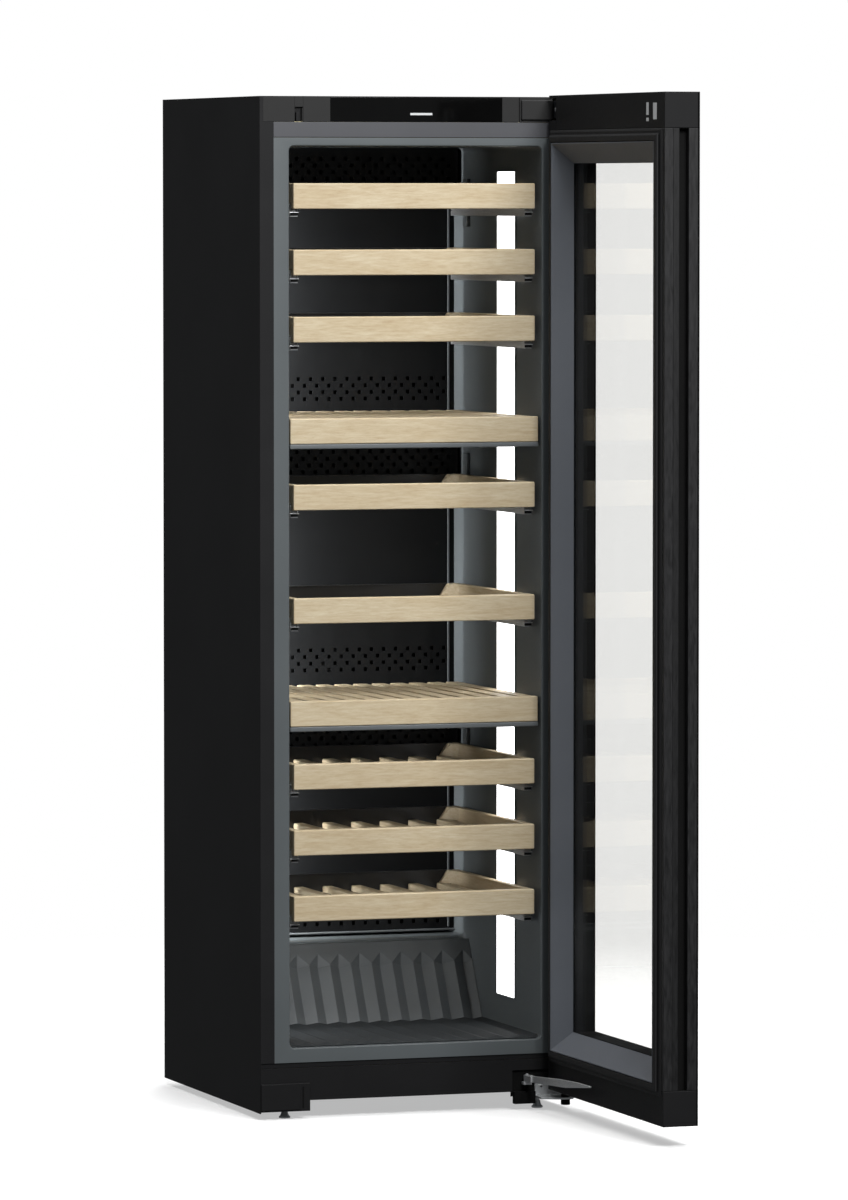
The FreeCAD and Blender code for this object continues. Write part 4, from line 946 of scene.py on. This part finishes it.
def corner_block(bm, wall, sign, back, z):
    """A triangular block glued into a drawer's rear corner, its free end cut on a slope."""
    plan = [(wall, back - CORNER_LONG), (wall, back), (wall + sign * CORNER_WIDE, back)]
    faces = prism(bm, plan, z, paint=1)
    verts = list(dict.fromkeys(v for f in faces for v in f.verts))
    slope = Vector((z[1] - z[0], 0, sign * CORNER_SLOPE)) * sign
    geom = faces + edges_of(verts) + verts
    corner = (wall + sign * (CORNER_WIDE - 1), back, z[0])
    cut = bmesh.ops.bisect_plane(bm, geom=geom, plane_co=corner, plane_no=slope,
                                 clear_outer=True)["geom_cut"]
    bmesh.ops.holes_fill(bm, edges=edges_in(cut))


def slat_row(bm, x, y, z, count, margin, wide, ease):
    """Level slats spaced evenly over a drawer's or a divider's width."""
    pitch = (x[1] - x[0] - 2 * margin) / (count - 1)
    for k in range(count):
        middle = x[0] + margin + k * pitch
        board(bm, (middle - wide / 2, middle + wide / 2), y, z, across=False, ease=ease)


# %% Drawer wood
FRONT_THICK = 18.0
SIDE_THICK = 14.0
SLAT_MARGIN = 33.55
SLAT_WIDE = 20.0
SLAT_THICK = 12.0
SLAT_DROP = 24.0
SLATS = 8
RAIL_LIFT = 11.0
DRAWERS = 8
for number in range(1, DRAWERS + 1):
    x, y, z = spans(f"drawer_{number}_wood")
    behind = (y[0] + FRONT_THICK, y[1])
    bm = bmesh.new()
    board(bm, x, (y[0], behind[0]), z, across=True)
    for side in ((x[0], x[0] + SIDE_THICK), (x[1] - SIDE_THICK, x[1])):
        board(bm, side, behind, (z[0] + RAIL_LIFT, z[1]), across=False)
    slat_z = (z[1] - SLAT_DROP - SLAT_THICK, z[1] - SLAT_DROP)
    slat_row(bm, x, behind, slat_z, SLATS, SLAT_MARGIN, SLAT_WIDE, 2.5)
    for wall, sign in ((x[0] + SIDE_THICK, 1), (x[1] - SIDE_THICK, -1)):
        corner_block(bm, wall, sign, y[1], (z[1] - SLAT_DROP, z[1] - 0.6))
    finish(f"drawer_{number}_boards", bm, f"drawer_{number}", [BEECH_ACROSS, BEECH_DEEP],
           [f"drawer_{number}_wood"])

# %% [markdown]
# ## Runners
# A drawer rides on telescopic runners: an upside-down channel on the drawer, a bar between, and a
# channel on the wall. The sections are pushed along y, and rows of bearing balls show between bar
# and channel.

# %% Carriers, runner bars and cabinet rails
RAIL_WIDE = 13.6
RAIL_WALL = 1.3
RAIL_PLAY = 0.2
RAIL_TALL, RAIL_DROP, CARRIER_TALL = 9, 18, 8
TAB_STARTS, TAB_LONG = (FRONT + 70, FRONT + 330), 30
BALLS, BALL_PITCH, BALL_RADIUS, BALL_OUT = 9, 9, 2.0, 3.2


def channel(bm, x, y, z, up, paint=0):
    """A U section; up says that its open side looks up."""
    left, right, tall = x[0] + RAIL_WALL, x[1] - RAIL_WALL, z[1] - z[0]
    shape = [(x[0], 0), (x[1], 0), (x[1], tall), (right, tall), (right, RAIL_WALL), (left, RAIL_WALL),
             (left, tall), (x[0], tall)]
    prism(bm, [(a, z[0] + b if up else z[1] - b) for a, b in shape], y, "y", paint=paint)


rail_pieces = bmesh.new()
for number in range(1, DRAWERS + 1):
    x, y, z = spans(f"drawer_{number}_carrier")
    seat = z[0] + RAIL_WALL
    bar_x, bar_y, bar_z = spans(f"drawer_{number}_runner")
    rails = [(x[0] + RAIL_PLAY, x[0] + RAIL_PLAY + RAIL_WIDE),
             (x[1] - RAIL_PLAY - RAIL_WIDE, x[1] - RAIL_PLAY)]
    bm = bmesh.new()
    block(bm, x, (y[1] - 2, y[1]), z, ease=0.5)
    block(bm, x, (y[1] - 7, y[1] - 1.8), (z[1] - 1.6, z[1]), ease=0.5)
    for rail in rails:
        channel(bm, rail, y, (seat - CARRIER_TALL, seat), up=False, paint=1)
    finish(f"drawer_{number}_frame", bm, f"drawer_{number}", [DARK_STEEL, BRIGHT],
           [f"drawer_{number}_carrier"])
    bm = bmesh.new()
    for rail in rails:
        inside = (rail[0] + 1.8, rail[1] - 1.8)
        mid = sum(rail) / 2
        block(bm, (mid - 1.2, mid + 1.2), bar_y, bar_z, ease=0.3)
        for z_pair in ((bar_z[0], bar_z[0] + 3), (bar_z[1] - 3, bar_z[1])):
            block(bm, inside, bar_y, z_pair, ease=0.8)
        for k in range(BALLS):
            for side in (-1, 1):
                spot = (mid + side * BALL_OUT, bar_y[0] + 10 + BALL_PITCH * k, sum(bar_z) / 2)
                bmesh.ops.create_icosphere(bm, subdivisions=2, radius=BALL_RADIUS,
                                           matrix=Matrix.Translation(spot))
    finish(f"drawer_{number}_runner_bars", bm, f"runner_{number}", [BRIGHT],
           [f"drawer_{number}_runner"])
    low = seat - RAIL_DROP
    for rail, tab in ((rails[0], (OPEN_X[0], rails[0][0])), (rails[1], (rails[1][1], OPEN_X[1]))):
        channel(rail_pieces, rail, y, (low, low + RAIL_TALL), up=True)
        for start in TAB_STARTS:
            block(rail_pieces, tab, (start, start + TAB_LONG), (low, low + RAIL_TALL), ease=0.6)
        block(rail_pieces, rail, (y[0] - 2.5, y[0]), (low + 1.5, low + 6.5), ease=0.8, paint=1)
        block(rail_pieces, (rail[0] - 4, rail[1]), (y[0] - 8, y[0]), (low + 6.8, low + 7.9), ease=0.3)
finish("wall_rails", rail_pieces, "cabinet", [BRIGHT, BLACK_PLASTIC], ["cabinet_rails"])

# %% [markdown]
# ## Dividers
# Two fixed shelves part the zones. Each has a wooden front and thirteen level slats over an
# insulated plate whose front edge is rounded like a moulding.

# %% Divider boards and plates
DIVIDER_SLATS = 13
DIVIDER_SLAT_WIDE, DIVIDER_SLAT_THICK, DIVIDER_SLAT_MARGIN = 25.0, 14, 17.3
bm = bmesh.new()
for top in tops:
    board(bm, board_x, (board_y[0], board_y[0] + FRONT_THICK), (top - BOARD, top), across=True)
    behind = (board_y[0] + FRONT_THICK, board_y[1])
    for side in ((board_x[0], board_x[0] + SIDE_THICK), (board_x[1] - SIDE_THICK, board_x[1])):
        board(bm, side, behind, (top - BOARD, top - DIVIDER_SLAT_THICK), across=False)
    slat_row(bm, board_x, behind, (top - DIVIDER_SLAT_THICK, top), DIVIDER_SLATS, DIVIDER_SLAT_MARGIN,
             DIVIDER_SLAT_WIDE, 0.9)
finish("divider_shelves", bm, "cabinet", [BEECH_ACROSS, BEECH_DEEP], ["divider_boards"])

bm = bmesh.new()
for top in tops:
    under = top - BOARD
    block(bm, plate_x, plate_y, (under - PLATE, under - 0.3), ease=2.0, steps=4)
finish("divider_plate_pair", bm, "cabinet", [DIVIDER_GREY], ["divider_plates"])

# %% [markdown]
# ## The door's own directions
# The door is drawn as if lying against the cabinet: u runs from its hinge edge to its free edge, w
# from its inner face to its outer glass. At rest it stands open at a right angle, so u points
# forward and w to the right.

# %% Door directions
core_x, core_y, core_z = spans("door_core")
glass_x, glass_y, glass_z = spans("door_front_glass")
DOOR_WIDE = core_y[1] - core_y[0]
CORE = core_x[1] - core_x[0]


def on_door(u, z, w):
    return Vector((core_x[0] + w, core_y[1] - u, z))


def leaf(bm, u, w, z, ease=0.8, steps=2, paint=0):
    """A block in the door's own directions."""
    block(bm, (core_x[0] + w[0], core_x[0] + w[1]), (core_y[1] - u[1], core_y[1] - u[0]), z,
          ease, steps, paint)


RIDGE_IN, WINDOW_IN = 33.7, 70.5
RIDGE_U = (RIDGE_IN, DOOR_WIDE - RIDGE_IN)
RIDGE_Z = spans("door_inner_frame")[2]
WINDOW_U = (WINDOW_IN, DOOR_WIDE - WINDOW_IN)
WINDOW_Z = (150.0, RIDGE_Z[1] - 37)
PROUD = 8.2
PANE_DEEP = 23.0
print("door", round(DOOR_WIDE, 1), "x", round(glass_z[1] - glass_z[0], 1), "core", round(CORE, 1))

# %% [markdown]
# ## Door core and caps
# The core is four members round the window. Its free edge is built up in bands: two grained strips,
# a deep grip groove, and a third strip. Smooth caps close it above and below, and the upper one is
# cut out for the hinge arm.

# %% Door core
GROOVE_W = (27.8, 45.3)
GROOVE_DEEP = 14.0
SEAM_W = 16.6
bm = bmesh.new()
STEP_W = (PANE_DEEP + 4.2, CORE)
grip_u = DOOR_WIDE - GROOVE_DEEP
leaf(bm, (0, RIDGE_U[0]), (0, CORE), core_z, ease=1.0)
leaf(bm, RIDGE_U, (0, CORE), (RIDGE_Z[1], core_z[1]), ease=0)
leaf(bm, RIDGE_U, (0, CORE), (core_z[0], RIDGE_Z[0]), ease=0)
# The grip groove's floor and the steps round the window are near-black: black plastic, with painted shade for
# their depth.
leaf(bm, (RIDGE_U[1], grip_u), (0, CORE), core_z, ease=0, paint=3)
for u, z in (((RIDGE_U[0], WINDOW_U[0]), RIDGE_Z), ((WINDOW_U[1], RIDGE_U[1]), RIDGE_Z),
             (WINDOW_U, (WINDOW_Z[1], RIDGE_Z[1])), (WINDOW_U, (RIDGE_Z[0], WINDOW_Z[0]))):
    leaf(bm, u, STEP_W, z, ease=0, paint=3)
for edge, w, paint in ((DOOR_WIDE, (0, SEAM_W), 1), (DOOR_WIDE - 0.5, (SEAM_W, GROOVE_W[0]), 2),
                       (DOOR_WIDE, (GROOVE_W[1], CORE), 1)):
    leaf(bm, (grip_u, edge), w, core_z, ease=0.9, steps=3, paint=paint)
finish("door_body", bm, "door", [BLACK_PLASTIC, EDGE_FOIL, EDGE_FOIL_DARK, BLACK_AND_RECESS_SHADE],
       ["door_core"])

# %% Door caps
cap_z = spans("door_caps")[2]
POCKET_U, POCKET_W = 37.0, 48.0
pocket_z = (glass_z[1] - 45.5, glass_z[1] - 5.5)
bm = bmesh.new()
upper_z = (core_z[1] + 0.4, cap_z[1])
leaf(bm, (POCKET_U, DOOR_WIDE), (0, CORE), upper_z, ease=1.2, steps=3)
leaf(bm, (0, POCKET_U), (0, CORE), (upper_z[0], pocket_z[0]), ease=0.6)
leaf(bm, (0, POCKET_U), (0, CORE), (pocket_z[1], upper_z[1]), ease=0.6)
leaf(bm, (0, POCKET_U), (POCKET_W, CORE), pocket_z, ease=0)
leaf(bm, (0, DOOR_WIDE), (0, CORE), (cap_z[0], core_z[0] - 0.4), ease=1.2, steps=3)
leaf(bm, (0.5, DOOR_WIDE - 0.5), (0.5, CORE - 0.5), (core_z[1] - 0.2, core_z[1] + 0.8), ease=0, paint=1)
leaf(bm, (0.5, DOOR_WIDE - 0.5), (0.5, CORE - 0.5), (core_z[0] - 0.8, core_z[0] + 0.2), ease=0, paint=1)
label_z = cap_z[1] - 18
for in_by, wide, low, high in ((92, 12, 22, 0), (92, 12, 33, 27), (58, 18, 30, 1)):
    u = DOOR_WIDE - in_by
    leaf(bm, (u, u + wide), (-0.25, 0.3), (label_z - low, label_z - high), ease=0.1, paint=2)
finish("door_cap_pair", bm, "door", [BLACK_PLASTIC, BLACK_AND_RECESS_SHADE, LABEL], ["door_caps"])

# %% [markdown]
# ## Glazing
# The outer pane is one sheet, printed black round its rim; only the middle stays clear. Cutting the
# sheet at the print's edge lets the same slab carry both finishes. The inner pane stands in the
# frame.

# %% Panes
bm = bmesh.new()


def clear_part(spot):
    return glass_y[0] + WINDOW_U[0] < spot.y < glass_y[1] - WINDOW_U[0] and WINDOW_Z[0] < spot.z < WINDOW_Z[1]


outer_w = (CORE, glass_x[1] - core_x[0])
start = bm.faces.new([bm.verts.new(on_door(u, z, outer_w[0])) for u, z in
                      ((0, glass_z[0]), (DOOR_WIDE, glass_z[0]), (DOOR_WIDE, glass_z[1]), (0, glass_z[1]))])
geom = [start, *start.edges, *start.verts]
for spot, way in ((on_door(WINDOW_U[0], 0, 0), (0, 1, 0)), (on_door(WINDOW_U[1], 0, 0), (0, 1, 0)),
                  (on_door(0, WINDOW_Z[0], 0), (0, 0, 1)), (on_door(0, WINDOW_Z[1], 0), (0, 0, 1))):
    geom = bmesh.ops.bisect_plane(bm, geom=geom, plane_co=spot, plane_no=way)["geom"]
grown = bmesh.ops.extrude_face_region(bm, geom=bm.faces[:])["geom"]
bmesh.ops.translate(bm, vec=(outer_w[1] - outer_w[0], 0, 0), verts=verts_in(grown))
bmesh.ops.recalc_face_normals(bm, faces=bm.faces[:])
for face in bm.faces:
    face.material_index = 1 if clear_part(face.calc_center_median()) and abs(face.normal.x) > 0.9 else 0
outer_edges = [e for e in bm.edges if len(e.link_faces) == 2 and e.calc_face_angle() > 1.2]
soften(bm, outer_edges, 0.7)
finish("door_outer_pane", bm, "door", [GLOSS_BLACK, CLEAR_GLASS], ["door_front_glass"])

bm = bmesh.new()
PANE_IN, PANE_LOW = 36.5, 116
leaf(bm, (PANE_IN, DOOR_WIDE - PANE_IN), (PANE_DEEP + 0.1, PANE_DEEP + 4), (PANE_LOW, RIDGE_Z[1] - 2.6),
     ease=0.4)
finish("door_inner_pane", bm, "door", [CLEAR_GLASS], ["door_inner_glass"])

# %% Inner frame
bm = bmesh.new()
reach = RIDGE_U[0] - WINDOW_U[0]
section = [(0, 0), (0, -PROUD), (-1.5, -PROUD), (reach, PANE_DEEP - 0.4), (reach, PANE_DEEP), (-2.5, -0.5),
           (-2.5, 0)]
ring(bm, on_door, RIDGE_U, RIDGE_Z, section)
finish("door_picture_frame", bm, "door", [FRAME_GREY], ["door_inner_frame"], crease=20)

# %% [markdown]
# ## Gasket
# The seal is an extruded rubber profile with a base, a bellows and a magnet lip, welded at mitred
# corners. Its outer shape is swept round the frame; the hollow inside can't be seen and is left
# out.

# %% Gasket
bm = bmesh.new()
tall = core_x[0] - spans("door_gasket")[0][0]
section = [(0.2, 0), (0.2, -4.4), (2.2, -tall), (10.6, -tall), (13.4, -tall + 1.6), (13.8, -5.2),
           (12.0, -3.6), (13.0, -3.0), (16.0, -2.6), (19.0, -3.0), (22.6, -1.6), (23.0, 0)]
ring(bm, on_door, RIDGE_U, RIDGE_Z, section)
soften(bm, [e for e in bm.edges if len(e.link_faces) == 2 and e.calc_face_angle() < 1.7], 0.35, 2)
finish("door_seal", bm, "door", [RUBBER], ["door_gasket"], crease=50)

# %% [markdown]
# ## Hinges
# The upper hinge is a steel arm under a moulded cover. The lower one is a plate on a bracket, with
# a bearing bush round its pin and a round foot below it. What stands round the door's axis is a
# round bar, and the rest is eased blocks, prisms and screws.

# %% Upper hinge and its cover
ux, uy, uz = spans("upper_hinge")
nose_x = sum(ux) / 2
ARM_HALF = (ux[1] - ux[0]) / 2
nose_y = uy[0] + ARM_HALF
arm_z = (uz[1] - 32, uz[1])
bm = bmesh.new()
block(bm, ux, (nose_y, uy[1]), arm_z, ease=0.8)
rod(bm, (nose_x, nose_y), ARM_HALF, arm_z, ease=0.8)
rod(bm, (nose_x, nose_y), 5.0, (uz[0], arm_z[0] + 1))
for y in (nose_y + 22, nose_y + 48):
    rod(bm, (y, sum(arm_z) / 2), 3.4, (ux[0] - 0.4, ux[0] + 0.4), "x", sides=20, ease=0.2, paint=1)
finish("upper_hinge_arm", bm, "cabinet", [DARK_STEEL, SCREW], ["upper_hinge"])

hx, hy, hz = spans("hinge_cover")
bm = bmesh.new()
block(bm, hx, (FRONT, hy[1]), hz, ease=0.8)
block(bm, (hx[0] + 2.5, hx[1] - 0.2), (hy[0], FRONT + 2), (hz[0] + 4, hz[1] - 4), ease=2.2, steps=4)
finish("hinge_cover_shell", bm, "cabinet", [DARK_PLASTIC], ["hinge_cover"])

# %% Lower hinge
pin_x, pin_y = pin = (nose_x, nose_y)
plate_low, PLATE_THICK = 22.0, 4.0
plate_top = plate_low + PLATE_THICK
BRACKET_TALL = 30
back_y = (hinge_y[1] - 3, hinge_y[1])
bm = bmesh.new()
wide = (hinge_x[0] + 32, hinge_x[1])
outline = [(wide[0], hinge_y[1]), (wide[0], pin_y + 4), (pin_x - 10, hinge_y[0] + 1),
           (pin_x + 10, hinge_y[0] + 1), (wide[1], pin_y + 6), (wide[1], hinge_y[1])]
prism(bm, outline, (plate_low, plate_top), ease=1.0, ends=True)
bracket_top = plate_low + BRACKET_TALL
bracket = [(wide[0], plate_low), (wide[1], plate_low), (wide[1], plate_low + 7), (wide[0] + 24, bracket_top),
           (wide[0], bracket_top)]
prism(bm, bracket, (back_y[0] - 3, back_y[1]), "y", ease=0.8, ends=True)
# The two near-black blocks at the back are painted shade filling the plinth's notch.
block(bm, (hinge_x[0] - 10, wide[0] - 0.5), (hinge_y[1] - 12, hinge_y[1]), (hinge_z[0] + 0.5, plate_low + 12),
      ease=1.2, paint=1)
block(bm, (hinge_x[0] + 18, wide[0] + 34), (hinge_y[1] - 6, hinge_y[1]), (bracket_top + 1, hinge_z[1]),
      ease=1.2, paint=1)
rod(bm, pin, 5.0, (plate_low, plate_low + 38), ease=0.8)
rod(bm, pin, 8.2, (plate_top, plate_top + 5), ease=0.8, paint=1)
rod(bm, pin, 8.5, (hinge_z[0], plate_low), ease=1.4, paint=1)
post_x, post_y = post = (CASE_X[1] - 85, FRONT - 3.2)
closer_low = spans("closer_arm")[2][0]
block(bm, (post_x - 8, post_x + 8), (post_y - 5, back_y[0]), (closer_low - 6, closer_low - 1), ease=0.8)
rod(bm, post, 2.5, (closer_low - 2, closer_low + 14), ease=0.5)
screw(bm, (wide[0] + 11, plate_low + 20), 4.2, back_y[0] - 3, -1)
for x in (wide[0] + 8, wide[0] + 30):
    rod(bm, (x, hinge_y[1] - 9), 3.6, (plate_top, plate_top + 2.4), sides=6, ease=0.4)
finish("lower_hinge_plate", bm, "cabinet", [BRIGHT, BLACK_AND_RECESS_SHADE], ["lower_hinge"])

# %% [markdown]
# ## Door closer
# A flat lever with a square eye block steadies the door in its last few degrees. Its blade rises
# and narrows towards the tip, so its side view is an outline pushed through its thickness, then
# swung to its place.

# %% Closer lever
CLOSER_LONG = 300.0
CLOSER_ANGLE = 272.7
CLOSER_HALF = 2.4
bm = bmesh.new()
tip = CLOSER_LONG - 1
blade = [(-5, 0), (34, 1), (CLOSER_LONG * 0.62, 8.5), (tip, 20.8), (tip, 23.6), (CLOSER_LONG * 0.78, 23.8),
         (CLOSER_LONG * 0.5, 20.5), (40, 13), (-5, 12)]
prism(bm, blade, (-CLOSER_HALF, CLOSER_HALF), "y", ease=0.7, ends=True)
block(bm, (-5, 30), (-5, 5), (0.4, 11.6), ease=1.0, steps=3)
rod(bm, (0, 0), 4.6, (0, 12), ease=0.6)
rod(bm, (20, 0), 3.0, (11, 13.2), ease=0.8)
swing = Matrix.Translation((post_x, post_y, closer_low)) @ Matrix.Rotation(radians(CLOSER_ANGLE), 4, "Z")
bmesh.ops.transform(bm, matrix=swing, verts=bm.verts[:])
finish("closer_lever", bm, "closer", [BRIGHT], ["closer_arm"])

# %% [markdown]
# ## Feet and rollers
# A screw foot is a turned part: a disc, a flared neck and a stem. The rear rollers are tyres with a
# crowned tread and a hub. Both come from a spun outline.

# %% Feet and rollers
for side in ("left", "right"):
    x, y, z = spans(f"front_foot_{side}")
    centre = (sum(x) / 2, sum(y) / 2)
    bm = bmesh.new()
    lathe(bm, [(0, 0), (9.6, 0), (10.4, 0.8), (10.5, 2.6), (9.4, 4), (8.2, 4.6), (6.4, 9), (5.4, 14),
               (4.0, 14.6), (4.0, z[1]), (0, z[1])], centre)
    finish(f"front_foot_{side}_screw", bm, f"front_foot_{side}_body", [SCREW],
           [f"front_foot_{side}"])
    x, y, z = spans(f"rear_roller_{side}")
    centre = (sum(y) / 2, sum(z) / 2)
    bm = bmesh.new()
    near, far = x
    lathe(bm, [(4.1, near), (7.6, near), (8.0, near + 1.2), (10.2, near + 1.2), (11, near + 2.4),
               (11, far - 2.4), (10.2, far - 1.2), (8.0, far - 1.2), (7.6, far), (4.1, far), (4.1, near)],
          centre, "x")
    finish(f"rear_roller_{side}_tyre", bm, f"rear_roller_{side}_body", [TYRE],
           [f"rear_roller_{side}"])

# %% [markdown]
# ## CAD pieces that stay
# The foam, the fans and the cooling unit are right as they are. They only need their finishes.

# %% Finishes for the kept CAD pieces
KEPT = {"insulation": FOAM, "fan_upper": BLACK_PLASTIC, "fan_middle": BLACK_PLASTIC,
        "fan_lower": BLACK_PLASTIC, "cooling_unit": UNIT_BLACK}
for name, paint in KEPT.items():
    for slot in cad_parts[name].material_slots:
        slot.material = paint
    print(name, "wears", paint.name)

# %% [markdown]
# ## Room, light and camera
# The floor is pale and fades out far from the cooler, so that it meets the white room without a
# line. One large light above makes the soft shadow, one in front lights the wood, and one behind
# lights the back but is hidden from mirrors. Two small ones inside stand for the left light strip.
# The room behind the camera stays dim, because black paint mirrors whatever it faces.

# %% Floor
FADE_START, FADE_END, FLOOR_RADIUS = 1.6, 3.4, 4.0
floor_paint, tree, shader = blank("studio floor")
where = node(tree, "TexCoord").outputs["Object"]
reach = node(tree, "VectorMath", {"operation": "LENGTH"}, _0=where).outputs["Value"]
fade = node(tree, "MapRange", {"interpolation_type": "SMOOTHSTEP"}, Value=reach, From_Min=FADE_START,
            From_Max=FADE_END, To_Min=1.0, To_Max=0.0).outputs["Result"]
grime = node(tree, "TexNoise", Vector=where, Scale=2.0, Detail=3.0).outputs[0]
tree.links.new(ramp(tree, grime, [(0.3, (0.56,) * 3), (0.7, (0.58,) * 3)]), shader.inputs["Base Color"])
tree.links.new(fade, shader.inputs["Alpha"])
shader.inputs["Emission Color"].default_value = (1, 1, 1, 1)
shader.inputs["Emission Strength"].default_value = 0.45
shader.inputs["Roughness"].default_value = 0.9
shader.inputs["Specular IOR Level"].default_value = 0.0
bm = bmesh.new()
bmesh.ops.create_circle(bm, cap_ends=True, segments=64, radius=FLOOR_RADIUS)
mesh = bpy.data.meshes.new("studio_floor")
bm.to_mesh(mesh)
bm.free()
mesh.materials.append(floor_paint)
floor = bpy.data.objects.new("studio_floor", mesh)
bpy.context.scene.collection.objects.link(floor)
floor.visible_diffuse = False
floor.visible_glossy = False

# %% World and lamps
world = bpy.data.worlds.new("studio")
world.use_nodes = True
bpy.context.scene.world = world
tree = world.node_tree
dim = tree.nodes["Background"]
dim.inputs["Color"].default_value = (0.96, 0.98, 1.0, 1)
dim.inputs["Strength"].default_value = 0.16
white = node(tree, "Background")
white.inputs["Color"].default_value = (1, 1, 1, 1)
white.inputs["Strength"].default_value = 1.0
seen = node(tree, "LightPath").outputs["Is Camera Ray"]
both = node(tree, "MixShader", _0=seen, _1=dim.outputs[0], _2=white.outputs[0])
tree.links.new(both.outputs[0], tree.nodes["World Output"].inputs["Surface"])


def softbox(name, spot, target, size, power):
    lamp = bpy.data.lights.new(name, "AREA")
    lamp.shape = "RECTANGLE"
    lamp.size, lamp.size_y = size
    lamp.energy = power
    made = bpy.data.objects.new(name, lamp)
    made.location = spot
    made.rotation_euler = (Vector(target) - Vector(spot)).to_track_quat("-Z", "Y").to_euler()
    bpy.context.scene.collection.objects.link(made)
    return made


softbox("overhead", (0, -0.2, 5.2), (0, 0, 0), (5.0, 5.0), 270)
behind = softbox("behind", (1.8, 5.5, 3.4), (0, 0.3, 0.9), (2.4, 2.4), 300)
behind.visible_glossy = False
softbox("front", (0.6, -4.7, 4.2), (0, 0, 1.1), (2.2, 1.8), 360)
wall_x = OPEN_X[0] * MM
glow_x, glow_y, glow_z = wall_x + 0.003, 0.4475, 1.04
softbox("left strip glow", (glow_x, glow_y, glow_z), (glow_x + 0.3, glow_y + 0.95, glow_z), (0.006, 1.42), 45)
softbox("left strip foot", (wall_x + 0.004, 0.19, 0.29), (0.2, 0.30, 0.27), (0.08, 0.18), 0.9)

# %% Camera
LENS, SENSOR = 225.24, 36
TILT_DOWN, TURN_RIGHT = 3.11, 18.86
camera_data = bpy.data.cameras.new("camera")
camera_data.lens = LENS
camera_data.sensor_width = SENSOR
camera_data.clip_end = 100
camera = bpy.data.objects.new("camera", camera_data)
camera.location = (-4.40575, -12.90875, 1.682)
camera.rotation_euler = (radians(90 - TILT_DOWN), 0, radians(-TURN_RIGHT))
bpy.context.scene.collection.objects.link(camera)
bpy.context.scene.camera = camera
bpy.context.scene.view_settings.view_transform = "Standard"
